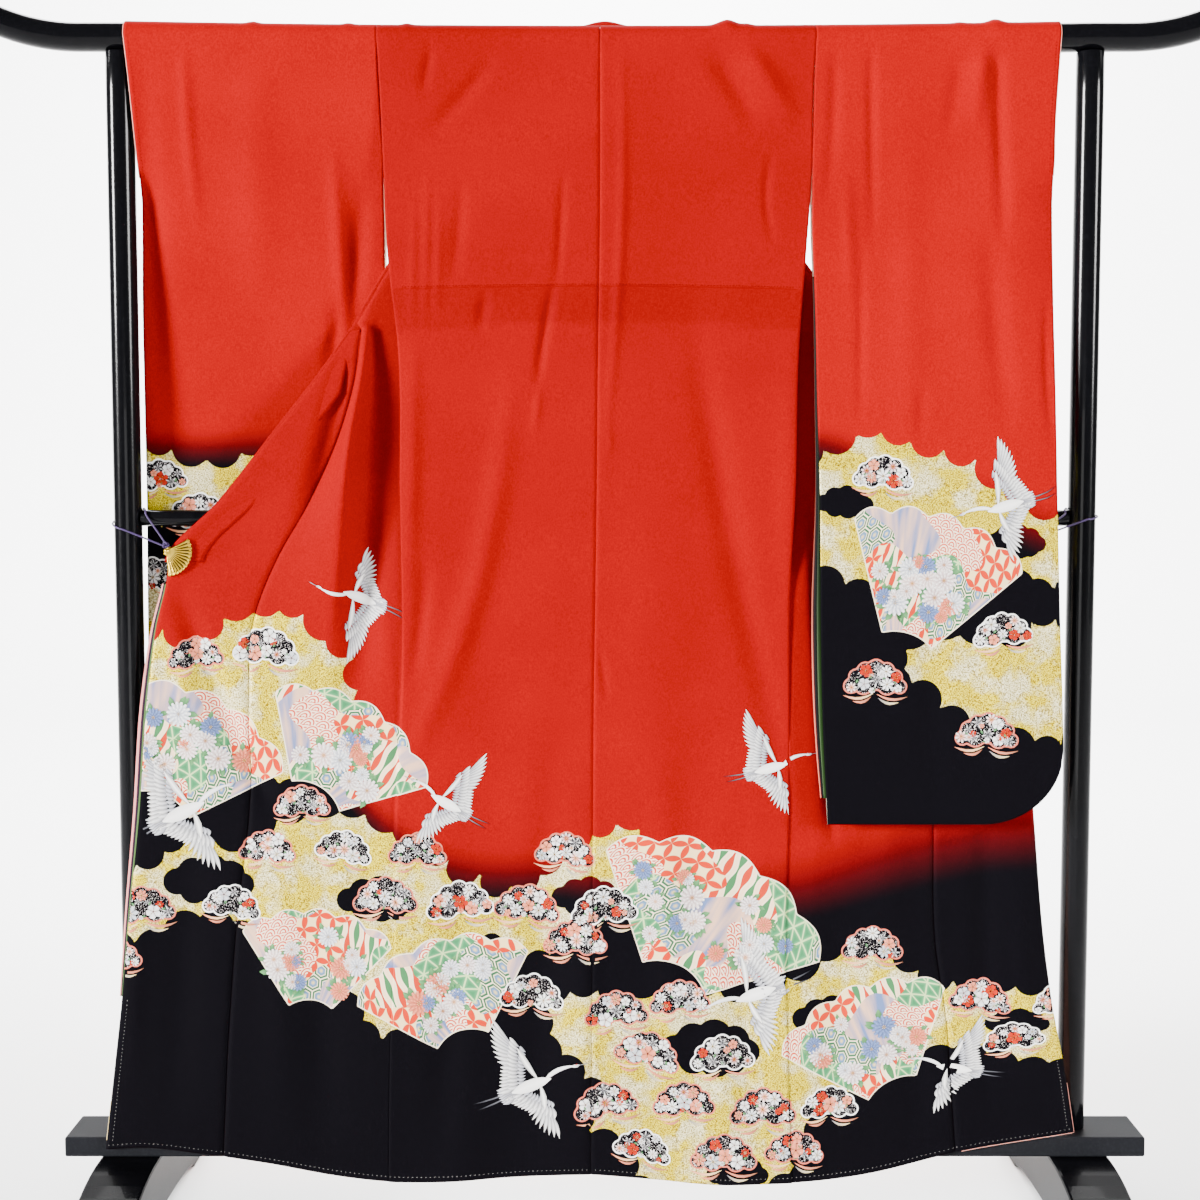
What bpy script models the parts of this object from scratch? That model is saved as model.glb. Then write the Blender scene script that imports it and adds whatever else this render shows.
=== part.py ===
"""A furisode hung back to front on a lacquered kimono rack.

Metres, +Z up. X runs along the rack's bar, the garment's back faces -Y, and the
origin is on the floor, midway between the posts and under the bar.
"Out" means away from the garment's middle, towards either side.
"""
import math

import bmesh
import bpy
import numpy as np
from mathutils import Matrix, Vector

# Cloth: a lined silk wall, the clear gap at a seam, and the step from one layer to the next
WALL = 0.0015
SEAM = 0.0003
LAYER = WALL + SEAM

# Rack
BAR_RADIUS = 0.020
BAR_HEIGHT = 1.690
BAR_SAG = 0.0065
BAR_STRAIGHT = 0.735
BAR_END_RADIUS = 0.30
BAR_END_TURN = math.radians(36)
POST_OUT = 0.680
POST_RADIUS = 0.0195
RAIL_HEIGHT = 1.0175
RAIL_RADIUS = 0.0115
BOARD_HALF_LENGTH = 0.777
BOARD_HALF_DEPTH = 0.045
BOARD_TOP = 0.1287
BOARD_THICKNESS = 0.0287
FOOT_OUT = 0.6825
FOOT_WIDTH = 0.0855
FOOT_REACH = 0.265
FOOT_SEAT = 0.050
FOOT_FALL = 2.2
FOOT_TIP_HEIGHT = 0.035
FOOT_CORNER = 0.006
FOOT_PAD = 0.095
FOOT_ARCH = 0.018

# The cloth's middle surface over the bar, with room for the facets of both
CREST = 0.0213
CREST_STEPS = 6

# How much closer a front's columns stand where its section bends, in metres for each radian
BEND_WEIGHT = 0.030

# Sleeves: bottom edge, rounded outer corner, foot of the open cuff, and how far from the sewn
# edges the two layers part
SLEEVE_BOTTOM = 0.588
SLEEVE_CORNER_WIDTH = 0.115
SLEEVE_CORNER_HEIGHT = 0.105
CUFF_FOOT = 1.490
CUFF_FADE = 0.030
SEWN_SIDE_SHARE = 0.20
SEWN_BOTTOM_SHARE = 0.12

# Body: top of the side seams, soft waves of the back, how far the fronts' seams lie inside the
# back's edge, and the first valley outside it
SIDE_SEAM_TOP = 1.378
BACK_WAVE = 0.004
SEAM_INSET = 0.001
VALLEY_OUT = 0.012
TURN_SHARE = 0.3

# Okumi: its top, and how much further it starts from the front where the two are steep
OKUMI_TOP = 1.284
OKUMI_UNDERLAP = 0.0008
STEEP_RUN = 0.02

# Collar: lower end, width, how far it shows past the edge, and its clearances behind the cloth
COLLAR_FOOT = 0.956
COLLAR_WIDTH = 0.050
COLLAR_NARROWED = 0.3
COLLAR_PROUD = 0.0045
COLLAR_MARGIN = 0.002
COLLAR_TURN_MARGIN = 0.010
COLLAR_STAND_OFF = 0.002
COLLAR_LEAST = 0.002
NECK_HALF_WIDTH = 0.0615
NECK_RISE = 0.009

# Fan clip and its tie
FAN_RADIUS = 0.036
FAN_FIRST = math.radians(29)
FAN_LAST = math.radians(-88)
CLIP_PLATE = 0.0012
CLIP_HEEL = 0.003
CLIP_EYE = 0.0045
CLIP_EYE_PROUD = 0.0004
CLIP_JAW_LENGTH = 0.030
CLIP_JAW_WIDTH = 0.014
CLIP_OUTSIDE = 0.001
CLIP_HEIGHT = {-1: 0.9716, 1: 0.9750}
TIE_RISE = {-1: 0.0290, 1: 0.0400}
TIE_RADIUS = 0.00125
TIE_STEP = 0.0075
TIE_CLEAR = TIE_RADIUS + 0.0009
TIE_FROM_EYE = CLIP_EYE + TIE_RADIUS + SEAM


class Table:
    """Sizes by height: rows of named columns, read in straight runs between the rows."""

    def __init__(self, columns, rows):
        self.names = columns.split()
        self.rows = np.array(sorted(rows))

    def at(self, column, height):
        return np.interp(height, self.rows[:, 0], self.rows[:, self.names.index(column)])


# The back: side seams, centre seam and depth
BODY = Table("height left right centre depth", [
    (0.07, 0.310, 0.268, -0.020, -0.0560),
    (0.25, 0.307, 0.261, -0.019, -0.0530),
    (0.42, 0.300, 0.257, -0.018, -0.0500),
    (0.60, 0.296, 0.261, -0.017, -0.0460),
    (0.77, 0.287, 0.261, -0.016, -0.0420),
    (0.90, 0.286, 0.260, -0.014, -0.0390),
    (1.05, 0.288, 0.267, -0.012, -0.0360),
    (1.26, 0.290, 0.2715, -0.010, -0.0320),
    (1.378, 0.303, 0.280, -0.008, -0.0295),
    (1.51, 0.309, 0.2885, -0.007, -0.0265),
    (1.60, 0.3128, 0.2891, -0.007, -0.0240),
    (1.69, 0.3178, 0.2935, -0.007, -0.0213),
])

# The hem's height along the whole opened garment
HEM = Table("x height", [
    (-0.7144, 0.114), (-0.6699, 0.117), (-0.5796, 0.108), (-0.4835, 0.094), (-0.3846, 0.076),
    (-0.3107, 0.068), (-0.1546, 0.073), (-0.0199, 0.079), (0.1249, 0.066), (0.2673, 0.066),
    (0.372, 0.078), (0.501, 0.110), (0.6682, 0.139),
])
HEM_LEVEL = 0.07
HEM_FADE = 0.25

# Each opened front, by height: how far it is tucked in behind the back, how far it lies
# behind the back's edge, its soft fold (how far out, how far forward), the okumi seam,
# the free edge, and the depth of the okumi
FRONT_COLUMNS = "height tuck recess fold forward okumi edge depth"
FRONT_LEFT = Table(FRONT_COLUMNS, [
    (0.07, 0.000, 0.0022, 0.420, 0.000, 0.5475, 0.7155, -0.0520),
    (0.30, 0.000, 0.0024, 0.415, 0.000, 0.5370, 0.6935, -0.0440),
    (0.45, 0.000, 0.0035, 0.410, 0.002, 0.5250, 0.6790, -0.0390),
    (0.60, 0.000, 0.0050, 0.405, 0.004, 0.5070, 0.6630, -0.0340),
    (0.77, 0.000, 0.0080, 0.398, 0.007, 0.5060, 0.6490, -0.0300),
    (0.86, 0.004, 0.0110, 0.392, 0.009, 0.5020, 0.6370, -0.0255),
    (0.94, 0.012, 0.0140, 0.383, 0.012, 0.4740, 0.6195, -0.0255),
    (0.9587, 0.015, 0.0145, 0.380, 0.013, 0.4650, 0.6184, -0.0255),
    (1.04, 0.035, 0.0180, 0.372, 0.014, 0.4190, 0.5440, -0.0255),
    (1.15, 0.065, 0.0190, 0.359, 0.014, 0.3640, 0.4560, -0.0240),
    (1.21, 0.085, 0.0210, 0.353, 0.011, 0.3500, 0.4087, -0.0200),
    (1.29, 0.100, 0.0250, 0.341, 0.002, 0.3430, 0.3510, -0.0120),
])
FRONT_RIGHT = Table(FRONT_COLUMNS, [
    (0.07, 0.000, 0.0022, 0.375, 0.000, 0.5025, 0.6720, -0.0520),
    (0.20, 0.000, 0.0022, 0.370, 0.000, 0.4945, 0.6575, -0.0480),
    (0.30, 0.000, 0.0024, 0.368, 0.000, 0.4882, 0.6430, -0.0440),
    (0.41, 0.000, 0.0030, 0.366, 0.002, 0.4720, 0.6275, -0.0400),
    (0.58, 0.000, 0.0050, 0.362, 0.004, 0.4676, 0.6120, -0.0350),
    (0.77, 0.004, 0.0080, 0.356, 0.007, 0.4650, 0.5980, -0.0300),
    (0.94, 0.012, 0.0140, 0.350, 0.009, 0.4400, 0.5855, -0.0255),
    (0.962, 0.015, 0.0145, 0.348, 0.009, 0.4320, 0.5830, -0.0255),
    (1.04, 0.035, 0.0180, 0.342, 0.007, 0.3900, 0.5260, -0.0255),
    (1.15, 0.065, 0.0190, 0.334, 0.005, 0.3400, 0.4455, -0.0240),
    (1.21, 0.080, 0.0200, 0.328, 0.004, 0.3300, 0.4015, -0.0200),
    (1.29, 0.095, 0.0230, 0.321, 0.002, 0.3230, 0.3430, -0.0120),
])

# The fronts above the side seams hang behind the bar and turn back on themselves:
# depth of the hanging layer, where it turns, depth of the layer turned back, and its free edge
CHEST_COLUMNS = "height depth turn back_depth edge_left edge_right"
CHEST = Table(CHEST_COLUMNS, [
    (1.29, -0.0292, 0.188, -0.0110, 0.3510, 0.3430),
    (1.378, -0.0277, 0.172, -0.0040, 0.3005, 0.2785),
    (1.45, -0.0120, 0.150, 0.0080, 0.2437, 0.2260),
    (1.52, 0.0060, 0.120, 0.0210, 0.1880, 0.1750),
    (1.60, 0.0185, 0.078, 0.0300, 0.1160, 0.1100),
    (1.63, 0.0200, 0.069, 0.0300, 0.0740, 0.0740),
    (1.65, 0.0208, 0.064, 0.0290, 0.0642, 0.0642),
])
CHEST_NECK = 0.062

# Where the collar stands off the cloth: none, all, by height
STAND_OFF = Table("height share", [
    (1.244, 0.0), (OKUMI_TOP, 1.0), (1.324, 0.0), (1.60, 0.0), (1.64, 1.0),
])

# The neck collar's section: turn round the bar from its top, in radians, and share of the rise
NECK_SECTION = [(0.062, 0.0), (0.20, 0.75), (0.38, 1.0), (0.62, 0.75), (0.95, 0.35), (1.25, 0.1)]

# Sleeves by height: inner edge, outer edge, depth of the middle, and half the room inside
SLEEVE_COLUMNS = "height inner outer middle room"
SLEEVE_LEFT = Table(SLEEVE_COLUMNS, [
    (0.588, 0.330, 0.6620, 0.0220, 0.0025),
    (0.90, 0.322, 0.6595, 0.0225, 0.0026),
    (1.04, 0.319, 0.6580, 0.0220, 0.0028),
    (1.18, 0.3155, 0.6580, 0.0192, 0.0035),
    (1.33, 0.312, 0.6579, 0.0160, 0.0085),
    (1.42, 0.3105, 0.6550, 0.0090, 0.0120),
    (1.49, 0.3105, 0.6538, 0.0030, 0.0145),
    (1.515, 0.3095, 0.6548, 0.0010, 0.0152),
    (1.56, 0.3115, 0.6577, -0.0010, 0.0170),
    (1.634, 0.3150, 0.6634, -0.0010, 0.0195),
    (1.69, 0.3181, 0.6690, 0.0000, 0.0213),
])
SLEEVE_RIGHT = Table(SLEEVE_COLUMNS, [
    (0.588, 0.3133, 0.6460, -0.0640, 0.0025),
    (0.736, 0.3057, 0.6435, -0.0575, 0.0026),
    (0.876, 0.3025, 0.6385, -0.0515, 0.0027),
    (1.04, 0.3010, 0.6333, -0.0460, 0.0028),
    (1.18, 0.2965, 0.6300, -0.0400, 0.0035),
    (1.32, 0.2929, 0.6265, -0.0290, 0.0080),
    (1.42, 0.2890, 0.6258, -0.0180, 0.0110),
    (1.515, 0.2890, 0.6255, -0.0120, 0.0145),
    (1.56, 0.2893, 0.6260, -0.0085, 0.0160),
    (1.634, 0.2912, 0.6300, -0.0035, 0.0190),
    (1.69, 0.2938, 0.6335, 0.0000, 0.0213),
])

# Layered edges that show past the right sleeve's open side and the left front's free edge
SLEEVE_LAYERS = Table("height proud", [
    (0.62, 0.008), (0.70, 0.011), (0.86, 0.013), (1.10, 0.005), (1.36, 0.002),
])
FRONT_LAYERS = Table("height proud", [
    (0.33, 0.004), (0.50, 0.008), (0.75, 0.010), (0.93, 0.006),
])
LAYERS_INSIDE = 0.020

# Colours as linear red, green, blue, then roughness and metallic
FINISHES = {
    "red_silk": ((0.66, 0.030, 0.018), 0.62, 0.0),
    "layer_silk": ((0.62, 0.30, 0.28), 0.60, 0.0),
    "black_lacquer": ((0.006, 0.006, 0.009), 0.12, 0.0),
    "grey_lacquer": ((0.045, 0.048, 0.055), 0.38, 0.0),
    "gilt_metal": ((0.72, 0.50, 0.16), 0.26, 1.0),
    "purple_cord": ((0.060, 0.012, 0.160), 0.70, 0.0),
}


def clear_scene():
    for item in list(bpy.data.objects):
        bpy.data.objects.remove(item, do_unlink=True)


def new_collection(name):
    collection = bpy.data.collections.new(name)
    bpy.context.scene.collection.children.link(collection)
    return collection


def finish(name):
    """The named material, made on first use."""
    if name in bpy.data.materials:
        return bpy.data.materials[name]
    colour, roughness, metallic = FINISHES[name]
    material = bpy.data.materials.new(name)
    material.use_nodes = True
    shader = material.node_tree.nodes["Principled BSDF"]
    shader.inputs["Base Color"].default_value = (*colour, 1.0)
    shader.inputs["Roughness"].default_value = roughness
    shader.inputs["Metallic"].default_value = metallic
    material.diffuse_color = (*colour, 1.0)
    return material


def add_object(name, data, material):
    item = bpy.data.objects.new(name, data)
    PARTS.objects.link(item)
    item.data.materials.clear()
    item.data.materials.append(finish(material))
    return item


def adopt(item, material):
    """Moves a primitive into the object's collection and gives it its material."""
    for collection in list(item.users_collection):
        collection.objects.unlink(item)
    PARTS.objects.link(item)
    item.data.materials.append(finish(material))


def cloth(name, points, material="red_silk"):
    """A grid of points, rows by columns, given its wall on both sides."""
    rows, columns = points.shape[:2]
    mesh = bmesh.new()
    bmesh.ops.create_grid(mesh, x_segments=columns - 1, y_segments=rows - 1, size=0.5)
    for vertex in mesh.verts:
        column = round((vertex.co.x + 0.5) * (columns - 1))
        row = round((vertex.co.y + 0.5) * (rows - 1))
        vertex.co = Vector(points[row, column])
    data = bpy.data.meshes.new(name)
    mesh.to_mesh(data)
    mesh.free()
    item = add_object(name, data, material)
    solidify = item.modifiers.new("wall", 'SOLIDIFY')
    solidify.thickness = WALL
    solidify.offset = 0.0
    solidify.use_even_offset = False
    data.shade_smooth()


def bar_height(x):
    """Height of the bar's axis: it bows down a little between the posts."""
    return BAR_HEIGHT - BAR_SAG * np.clip(1.0 - (x / POST_OUT) ** 2, 0.0, 1.0)


def over_bar(x, angle):
    """Points on the cloth where it passes over the bar, turned from the top by the angle."""
    y = np.full(len(x), CREST * np.sin(angle))
    return np.stack([x, y, bar_height(x) + CREST * np.cos(angle)], axis=-1)


def hem_lift(x, height):
    """A row's height with the hem's own line worked into the lowest rows."""
    fade = np.clip(1.0 - (height - HEM_LEVEL) / HEM_FADE, 0.0, 1.0)
    return height + (HEM.at("height", x) - HEM_LEVEL) * fade


def resample(path, count, bend_weight=0.0):
    """The path's points, moved to equal distances along it. With a bend weight, in metres for
    each radian turned, they stand closer together where the path bends."""
    legs = np.diff(path, axis=0)
    steps = np.linalg.norm(legs, axis=1)
    if bend_weight:
        headings = np.unwrap(np.arctan2(legs[:, 1], legs[:, 0]))
        turned = np.abs(np.gradient(headings))
        steps = steps + bend_weight * turned
    along = np.concatenate([[0.0], np.cumsum(steps)])
    places = np.linspace(0.0, along[-1], count)
    return np.stack([np.interp(places, along, path[:, axis]) for axis in range(path.shape[1])], axis=1)


def soften(path, spread=0.004, step=0.001):
    """The path with its corners rounded by averaging neighbours, its two ends kept."""
    length = np.linalg.norm(np.diff(path, axis=0), axis=1).sum()
    fine = resample(path, max(8, int(length / step)))
    reach = int(3 * spread / step)
    weights = np.exp(-0.5 * (np.arange(-reach, reach + 1) * step / spread) ** 2)
    weights /= weights.sum()
    before = 2 * fine[0] - fine[1:reach + 1][::-1]
    after = 2 * fine[-1] - fine[-reach - 1:-1][::-1]
    padded = np.concatenate([before, fine, after])
    return np.stack([np.convolve(padded[:, axis], weights, mode="valid") for axis in range(2)], axis=1)


BACK_HEIGHTS = [HEM_LEVEL, 0.12, 0.18, 0.26, 0.36, 0.47, 0.58, 0.69, 0.80, 0.91, 1.02, 1.13,
                1.22, 1.30, SIDE_SEAM_TOP, 1.45, 1.515, 1.58, 1.64]
FRONT_HEIGHTS = [HEM_LEVEL, 0.12, 0.18, 0.26, 0.35, 0.45, 0.55, 0.65, 0.74, 0.82, 0.88, 0.94,
                 0.9587, 1.00, 1.04, 1.09, 1.15, 1.21, 1.25, OKUMI_TOP]
CHEST_HEIGHTS = [1.33, SIDE_SEAM_TOP, 1.42, 1.47, 1.52, 1.56, 1.60, 1.63, 1.65]


def back_panel(name, side):
    """One back panel, from its hem up to the top of the bar."""
    across = np.linspace(0.0, 1.0, 9)
    rows = []
    for height in BACK_HEIGHTS:
        seam = BODY.at("left" if side < 0 else "right", height) * side
        middle = BODY.at("centre", height) + side * SEAM / 2
        x = seam + (middle - seam) * across
        hang = np.clip(1.0 - height / SIDE_SEAM_TOP, 0.0, 1.0)
        ripple = BACK_WAVE * hang * np.sin(math.pi * across) * np.cos(math.tau * (1.5 * across + 0.4 * height))
        y = BODY.at("depth", height) + ripple
        rows.append(np.stack([x, y, hem_lift(x, height)], axis=-1))
    seam = BODY.at("left" if side < 0 else "right", BAR_HEIGHT) * side
    middle = BODY.at("centre", BAR_HEIGHT) + side * SEAM / 2
    x = seam + (middle - seam) * across
    for step in range(CREST_STEPS + 1):
        angle = -math.pi / 2 + math.pi / 2 * step / CREST_STEPS
        rows.append(over_bar(x, min(angle, -SEAM / 2 / CREST)))
    cloth(name, np.array(rows))


def front_path(side, height):
    """One level section of an opened front as (out, depth): from the side seam to the okumi
    seam, and from there to the free edge."""
    table = FRONT_LEFT if side < 0 else FRONT_RIGHT
    seam = BODY.at("left" if side < 0 else "right", height)
    back = BODY.at("depth", height)
    start = (seam - SEAM_INSET, back + LAYER)
    recess = back + table.at("recess", height)
    turn = start[0] - table.at("tuck", height)
    okumi, edge = table.at("okumi", height), table.at("edge", height)
    depth = table.at("depth", height)
    fold = (table.at("fold", height), depth - table.at("forward", height))
    inner = start[1] + TURN_SHARE * (recess - start[1])
    valley = (seam + VALLEY_OUT, recess)
    front = np.array([start, (turn, inner), (turn, recess), valley, fold, (okumi, depth)])
    slope = front[-1] - front[-2]
    lean = abs(slope[1]) / math.hypot(*slope)
    clear = SEAM + lean * WALL / 2 + OKUMI_UNDERLAP * max(0.0, 1.0 - slope[0] / STEEP_RUN)
    return front, np.array([(okumi + clear, depth), (edge, depth)])


def chest_path(side, height):
    """One level section of a front above the side seams: out from the armhole, turned back,
    and ending at the collar."""
    seam = BODY.at("left" if side < 0 else "right", height) - SEAM_INSET
    depth, back_depth = CHEST.at("depth", height), CHEST.at("back_depth", height)
    turn = CHEST.at("turn", height)
    edge = CHEST.at("edge_left" if side < 0 else "edge_right", height)
    near = depth + TURN_SHARE * (back_depth - depth)
    return np.array([(seam, depth), (turn, near), (turn, back_depth), (edge, back_depth)])


def level_row(side, path, height, lifted=True):
    """A level section's points in place."""
    x = side * path[:, 0]
    z = hem_lift(x, height) if lifted else np.full(len(x), height)
    return np.stack([x, path[:, 1], z], axis=-1)


def front_panel(name, side):
    """One opened front, from the hem up round the bar to the shoulder."""
    columns, rows = 18, []
    for height in FRONT_HEIGHTS:
        front, _ = front_path(side, height)
        rows.append(level_row(side, resample(soften(front), columns, BEND_WEIGHT), height))
    for height in CHEST_HEIGHTS:
        path = chest_path(side, height)
        rows.append(level_row(side, resample(soften(path), columns, BEND_WEIGHT), height, lifted=False))
    seam = BODY.at("left" if side < 0 else "right", BAR_HEIGHT) - SEAM_INSET
    x = side * np.linspace(seam, CHEST_NECK, columns)
    for step in range(CREST_STEPS, -1, -1):
        angle = math.pi / 2 * step / CREST_STEPS
        rows.append(over_bar(x, max(angle, SEAM / 2 / CREST)))
    cloth(name, np.array(rows))


def okumi_panel(name, side):
    """The narrow panel between a front and its free edge, tapering to a point under the collar."""
    rows = []
    for height in FRONT_HEIGHTS:
        _, okumi = front_path(side, height)
        rows.append(level_row(side, resample(okumi, 5), height))
    cloth(name, np.array(rows))


def collar_path(side, height):
    """One level section of the collar, laid behind the cloth's last stretch before its edge."""
    if height <= OKUMI_TOP:
        table = FRONT_LEFT if side < 0 else FRONT_RIGHT
        edge, depth = table.at("edge", height), table.at("depth", height)
        limit = table.at("okumi", height) + COLLAR_MARGIN
    else:
        edge = CHEST.at("edge_left" if side < 0 else "edge_right", height)
        depth, limit = CHEST.at("back_depth", height), CHEST.at("turn", height) + COLLAR_TURN_MARGIN
    stand_off = COLLAR_STAND_OFF * STAND_OFF.at("share", height)
    narrowed = COLLAR_WIDTH * COLLAR_NARROWED
    width = np.interp(abs(height - OKUMI_TOP), [0.03, 0.09], [narrowed, COLLAR_WIDTH])
    inner = min(max(edge - width, limit), edge - COLLAR_LEAST)
    out = np.linspace(edge + COLLAR_PROUD, inner, 4)
    return np.stack([out, np.full(4, depth + LAYER + stand_off)], axis=-1)


def collar_panel(name, side):
    """Half the collar, folded in behind the free edge and a little proud of it."""
    heights = [COLLAR_FOOT] + [height for height in FRONT_HEIGHTS if height > COLLAR_FOOT] + CHEST_HEIGHTS
    rows = [level_row(side, collar_path(side, height), height, lifted=False) for height in heights]
    cloth(name, np.array(rows))


def neck_collar(name):
    """The collar behind the neck: it rises a little over the top of the bar and drops behind."""
    x = np.linspace(-NECK_HALF_WIDTH, NECK_HALF_WIDTH, 9)
    rise = NECK_RISE * np.cos(math.pi * x / (2 * NECK_HALF_WIDTH)) ** 2
    rows = []
    for turn, share in NECK_SECTION:
        radius = CREST + rise * share
        rows.append(np.stack([x, radius * math.sin(turn), bar_height(x) + radius * math.cos(turn)], axis=-1))
    cloth(name, np.array(rows))


def sleeve_outline(side, across, up):
    """Out and height of a sleeve's points: the lower outer corner is rounded."""
    table = SLEEVE_LEFT if side < 0 else SLEEVE_RIGHT
    width = table.at("outer", SLEEVE_BOTTOM) - table.at("inner", SLEEVE_BOTTOM)
    past = np.clip((across * width - (width - SLEEVE_CORNER_WIDTH)) / SLEEVE_CORNER_WIDTH, 0.0, 1.0)
    foot = SLEEVE_BOTTOM + SLEEVE_CORNER_HEIGHT * (1.0 - np.sqrt(1.0 - past ** 2))
    height = foot + (BAR_HEIGHT - foot) * up
    out = table.at("inner", height) + (table.at("outer", height) - table.at("inner", height)) * across
    return out, height


def sleeve_rows(side, face):
    """Rows of one face of a sleeve from the bottom seam to the level of the bar's axis.
    The face is -1 towards the back and +1 towards the front."""
    table = SLEEVE_LEFT if side < 0 else SLEEVE_RIGHT
    across = np.array([0.0, 0.15, 0.33, 0.50, 0.66, 0.80, 0.91, 0.97, 1.0])
    closed = (WALL + SEAM) / 2
    rows = []
    for up in [0.0, 0.04, 0.11, 0.20, 0.31, 0.42, 0.54, 0.66, 0.76, 0.86, 0.94]:
        out, height = sleeve_outline(side, across, up)
        room = table.at("room", height)
        sewn_side = np.clip((CUFF_FOOT + CUFF_FADE - height) / (2 * CUFF_FADE), 0.0, 1.0)
        near_side = sewn_side * np.clip(1.0 - (1.0 - across) / SEWN_SIDE_SHARE, 0.0, 1.0) ** 2
        near_bottom = np.clip(1.0 - up / SEWN_BOTTOM_SHARE, 0.0, 1.0) ** 2
        room = closed + (room - closed) * (1.0 - np.maximum(near_side, near_bottom))
        y = table.at("middle", height) + face * room
        rows.append(np.stack([side * out, y, height], axis=-1))
    return rows, across


def sleeve(name, side):
    """One sleeve: a single length folded over the bar, sewn down its outer edge below the cuff
    and along its bottom."""
    rows, across = sleeve_rows(side, -1)
    table = SLEEVE_LEFT if side < 0 else SLEEVE_RIGHT
    inner, outer = table.at("inner", BAR_HEIGHT), table.at("outer", BAR_HEIGHT)
    x = side * (inner + (outer - inner) * across)
    for step in range(-CREST_STEPS, CREST_STEPS + 1):
        rows.append(over_bar(x, math.pi / 2 * step / CREST_STEPS))
    far_rows, _ = sleeve_rows(side, 1)
    cloth(name, np.array(rows + far_rows[::-1]))


def sleeve_layers(name, side):
    """The edges of the inner layers at the sleeve's open side, laid on the inside of its back."""
    rows = []
    for row in sleeve_rows(side, -1)[0]:
        x, y, height = row[0]
        if SLEEVE_LAYERS.rows[0, 0] < height < SLEEVE_LAYERS.rows[-1, 0]:
            out = side * x + np.array([-SLEEVE_LAYERS.at("proud", height), 0.0, LAYERS_INSIDE])
            rows.append(np.stack([side * out, np.full(3, y + LAYER), np.full(3, height)], axis=-1))
    cloth(name, np.array(rows), "layer_silk")


def front_layers(name, side):
    """The edges of the inner layers past a front's free edge, laid behind the okumi."""
    table = FRONT_LEFT if side < 0 else FRONT_RIGHT
    rows = []
    for height in FRONT_HEIGHTS:
        if FRONT_LAYERS.rows[0, 0] < height < FRONT_LAYERS.rows[-1, 0]:
            edge = table.at("edge", height)
            out = np.array([edge + FRONT_LAYERS.at("proud", height), edge, edge - LAYERS_INSIDE])
            path = np.stack([out, np.full(3, table.at("depth", height) + LAYER)], axis=-1)
            rows.append(level_row(side, path, height))
    cloth(name, np.array(rows), "layer_silk")


def tube(name, points, radius, sides_level, material):
    """A round rod or cord along the points, with closed ends."""
    data = bpy.data.curves.new(name, 'CURVE')
    data.dimensions = '3D'
    data.bevel_depth = radius
    data.bevel_resolution = sides_level
    data.use_fill_caps = True
    spline = data.splines.new('POLY')
    spline.points.add(len(points) - 1)
    for target, point in zip(spline.points, points):
        target.co = (*point, 1.0)
    add_object(name, data, material)


def upright(name, location, radius, height, material, axis="Z"):
    """A turned post or rail between flat ends."""
    bpy.ops.mesh.primitive_cylinder_add(vertices=24, radius=radius, depth=height, location=location)
    item = bpy.context.object
    item.name = name
    if axis == "X":
        item.rotation_euler = (0.0, math.pi / 2, 0.0)
    adopt(item, material)
    item.data.shade_smooth()
    item.data.set_sharp_from_angle(angle=math.radians(40))


def outline_plate(name, outline, thickness):
    """A closed mesh of a flat outline in the XY plane, its thickness shared to both sides."""
    data = bpy.data.curves.new(name, 'CURVE')
    data.dimensions = '2D'
    data.fill_mode = 'BOTH'
    data.extrude = thickness / 2
    spline = data.splines.new('POLY')
    spline.points.add(len(outline) - 1)
    for target, (x, y) in zip(spline.points, outline):
        target.co = (x, y, 0.0, 1.0)
    spline.use_cyclic_u = True
    drawn = bpy.data.objects.new(name + "_outline", data)
    bpy.context.scene.collection.objects.link(drawn)
    graph = bpy.context.evaluated_depsgraph_get()
    mesh = bpy.data.meshes.new_from_object(drawn.evaluated_get(graph))
    bpy.data.objects.remove(drawn, do_unlink=True)
    welded = bmesh.new()
    welded.from_mesh(mesh)
    bmesh.ops.remove_doubles(welded, verts=welded.verts, dist=0.00001)
    bmesh.ops.dissolve_limit(welded, angle_limit=0.01, verts=welded.verts, edges=welded.edges)
    welded.to_mesh(mesh)
    welded.free()
    return mesh


def top_bar():
    """The bar: nearly straight between the posts, its two ends curved up."""
    turns = np.linspace(BAR_END_TURN, 0.0, 5)[:-1]
    end_x = BAR_STRAIGHT + BAR_END_RADIUS * np.sin(turns)
    end_z = BAR_HEIGHT + BAR_END_RADIUS * (1.0 - np.cos(turns))
    middle_x = np.concatenate([[-BAR_STRAIGHT], np.linspace(-POST_OUT, POST_OUT, 9), [BAR_STRAIGHT]])
    x = np.concatenate([-end_x, middle_x, end_x[::-1]])
    z = np.concatenate([end_z, bar_height(middle_x), end_z[::-1]])
    tube("top_bar", np.stack([x, 0 * x, z], axis=-1), BAR_RADIUS, 6, "black_lacquer")


def rack_posts():
    """Two posts from the base board to the bar, and the thinner rail between them."""
    foot = BOARD_TOP + SEAM
    head = bar_height(POST_OUT - POST_RADIUS) - BAR_RADIUS - SEAM
    for name, side in [("post_left", -1), ("post_right", 1)]:
        upright(name, (side * POST_OUT, 0.0, (foot + head) / 2), POST_RADIUS, head - foot, "black_lacquer")
    length = 2 * (POST_OUT - POST_RADIUS - SEAM)
    upright("mid_rail", (0.0, 0.0, RAIL_HEIGHT), RAIL_RADIUS, length, "black_lacquer", axis="X")


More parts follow.
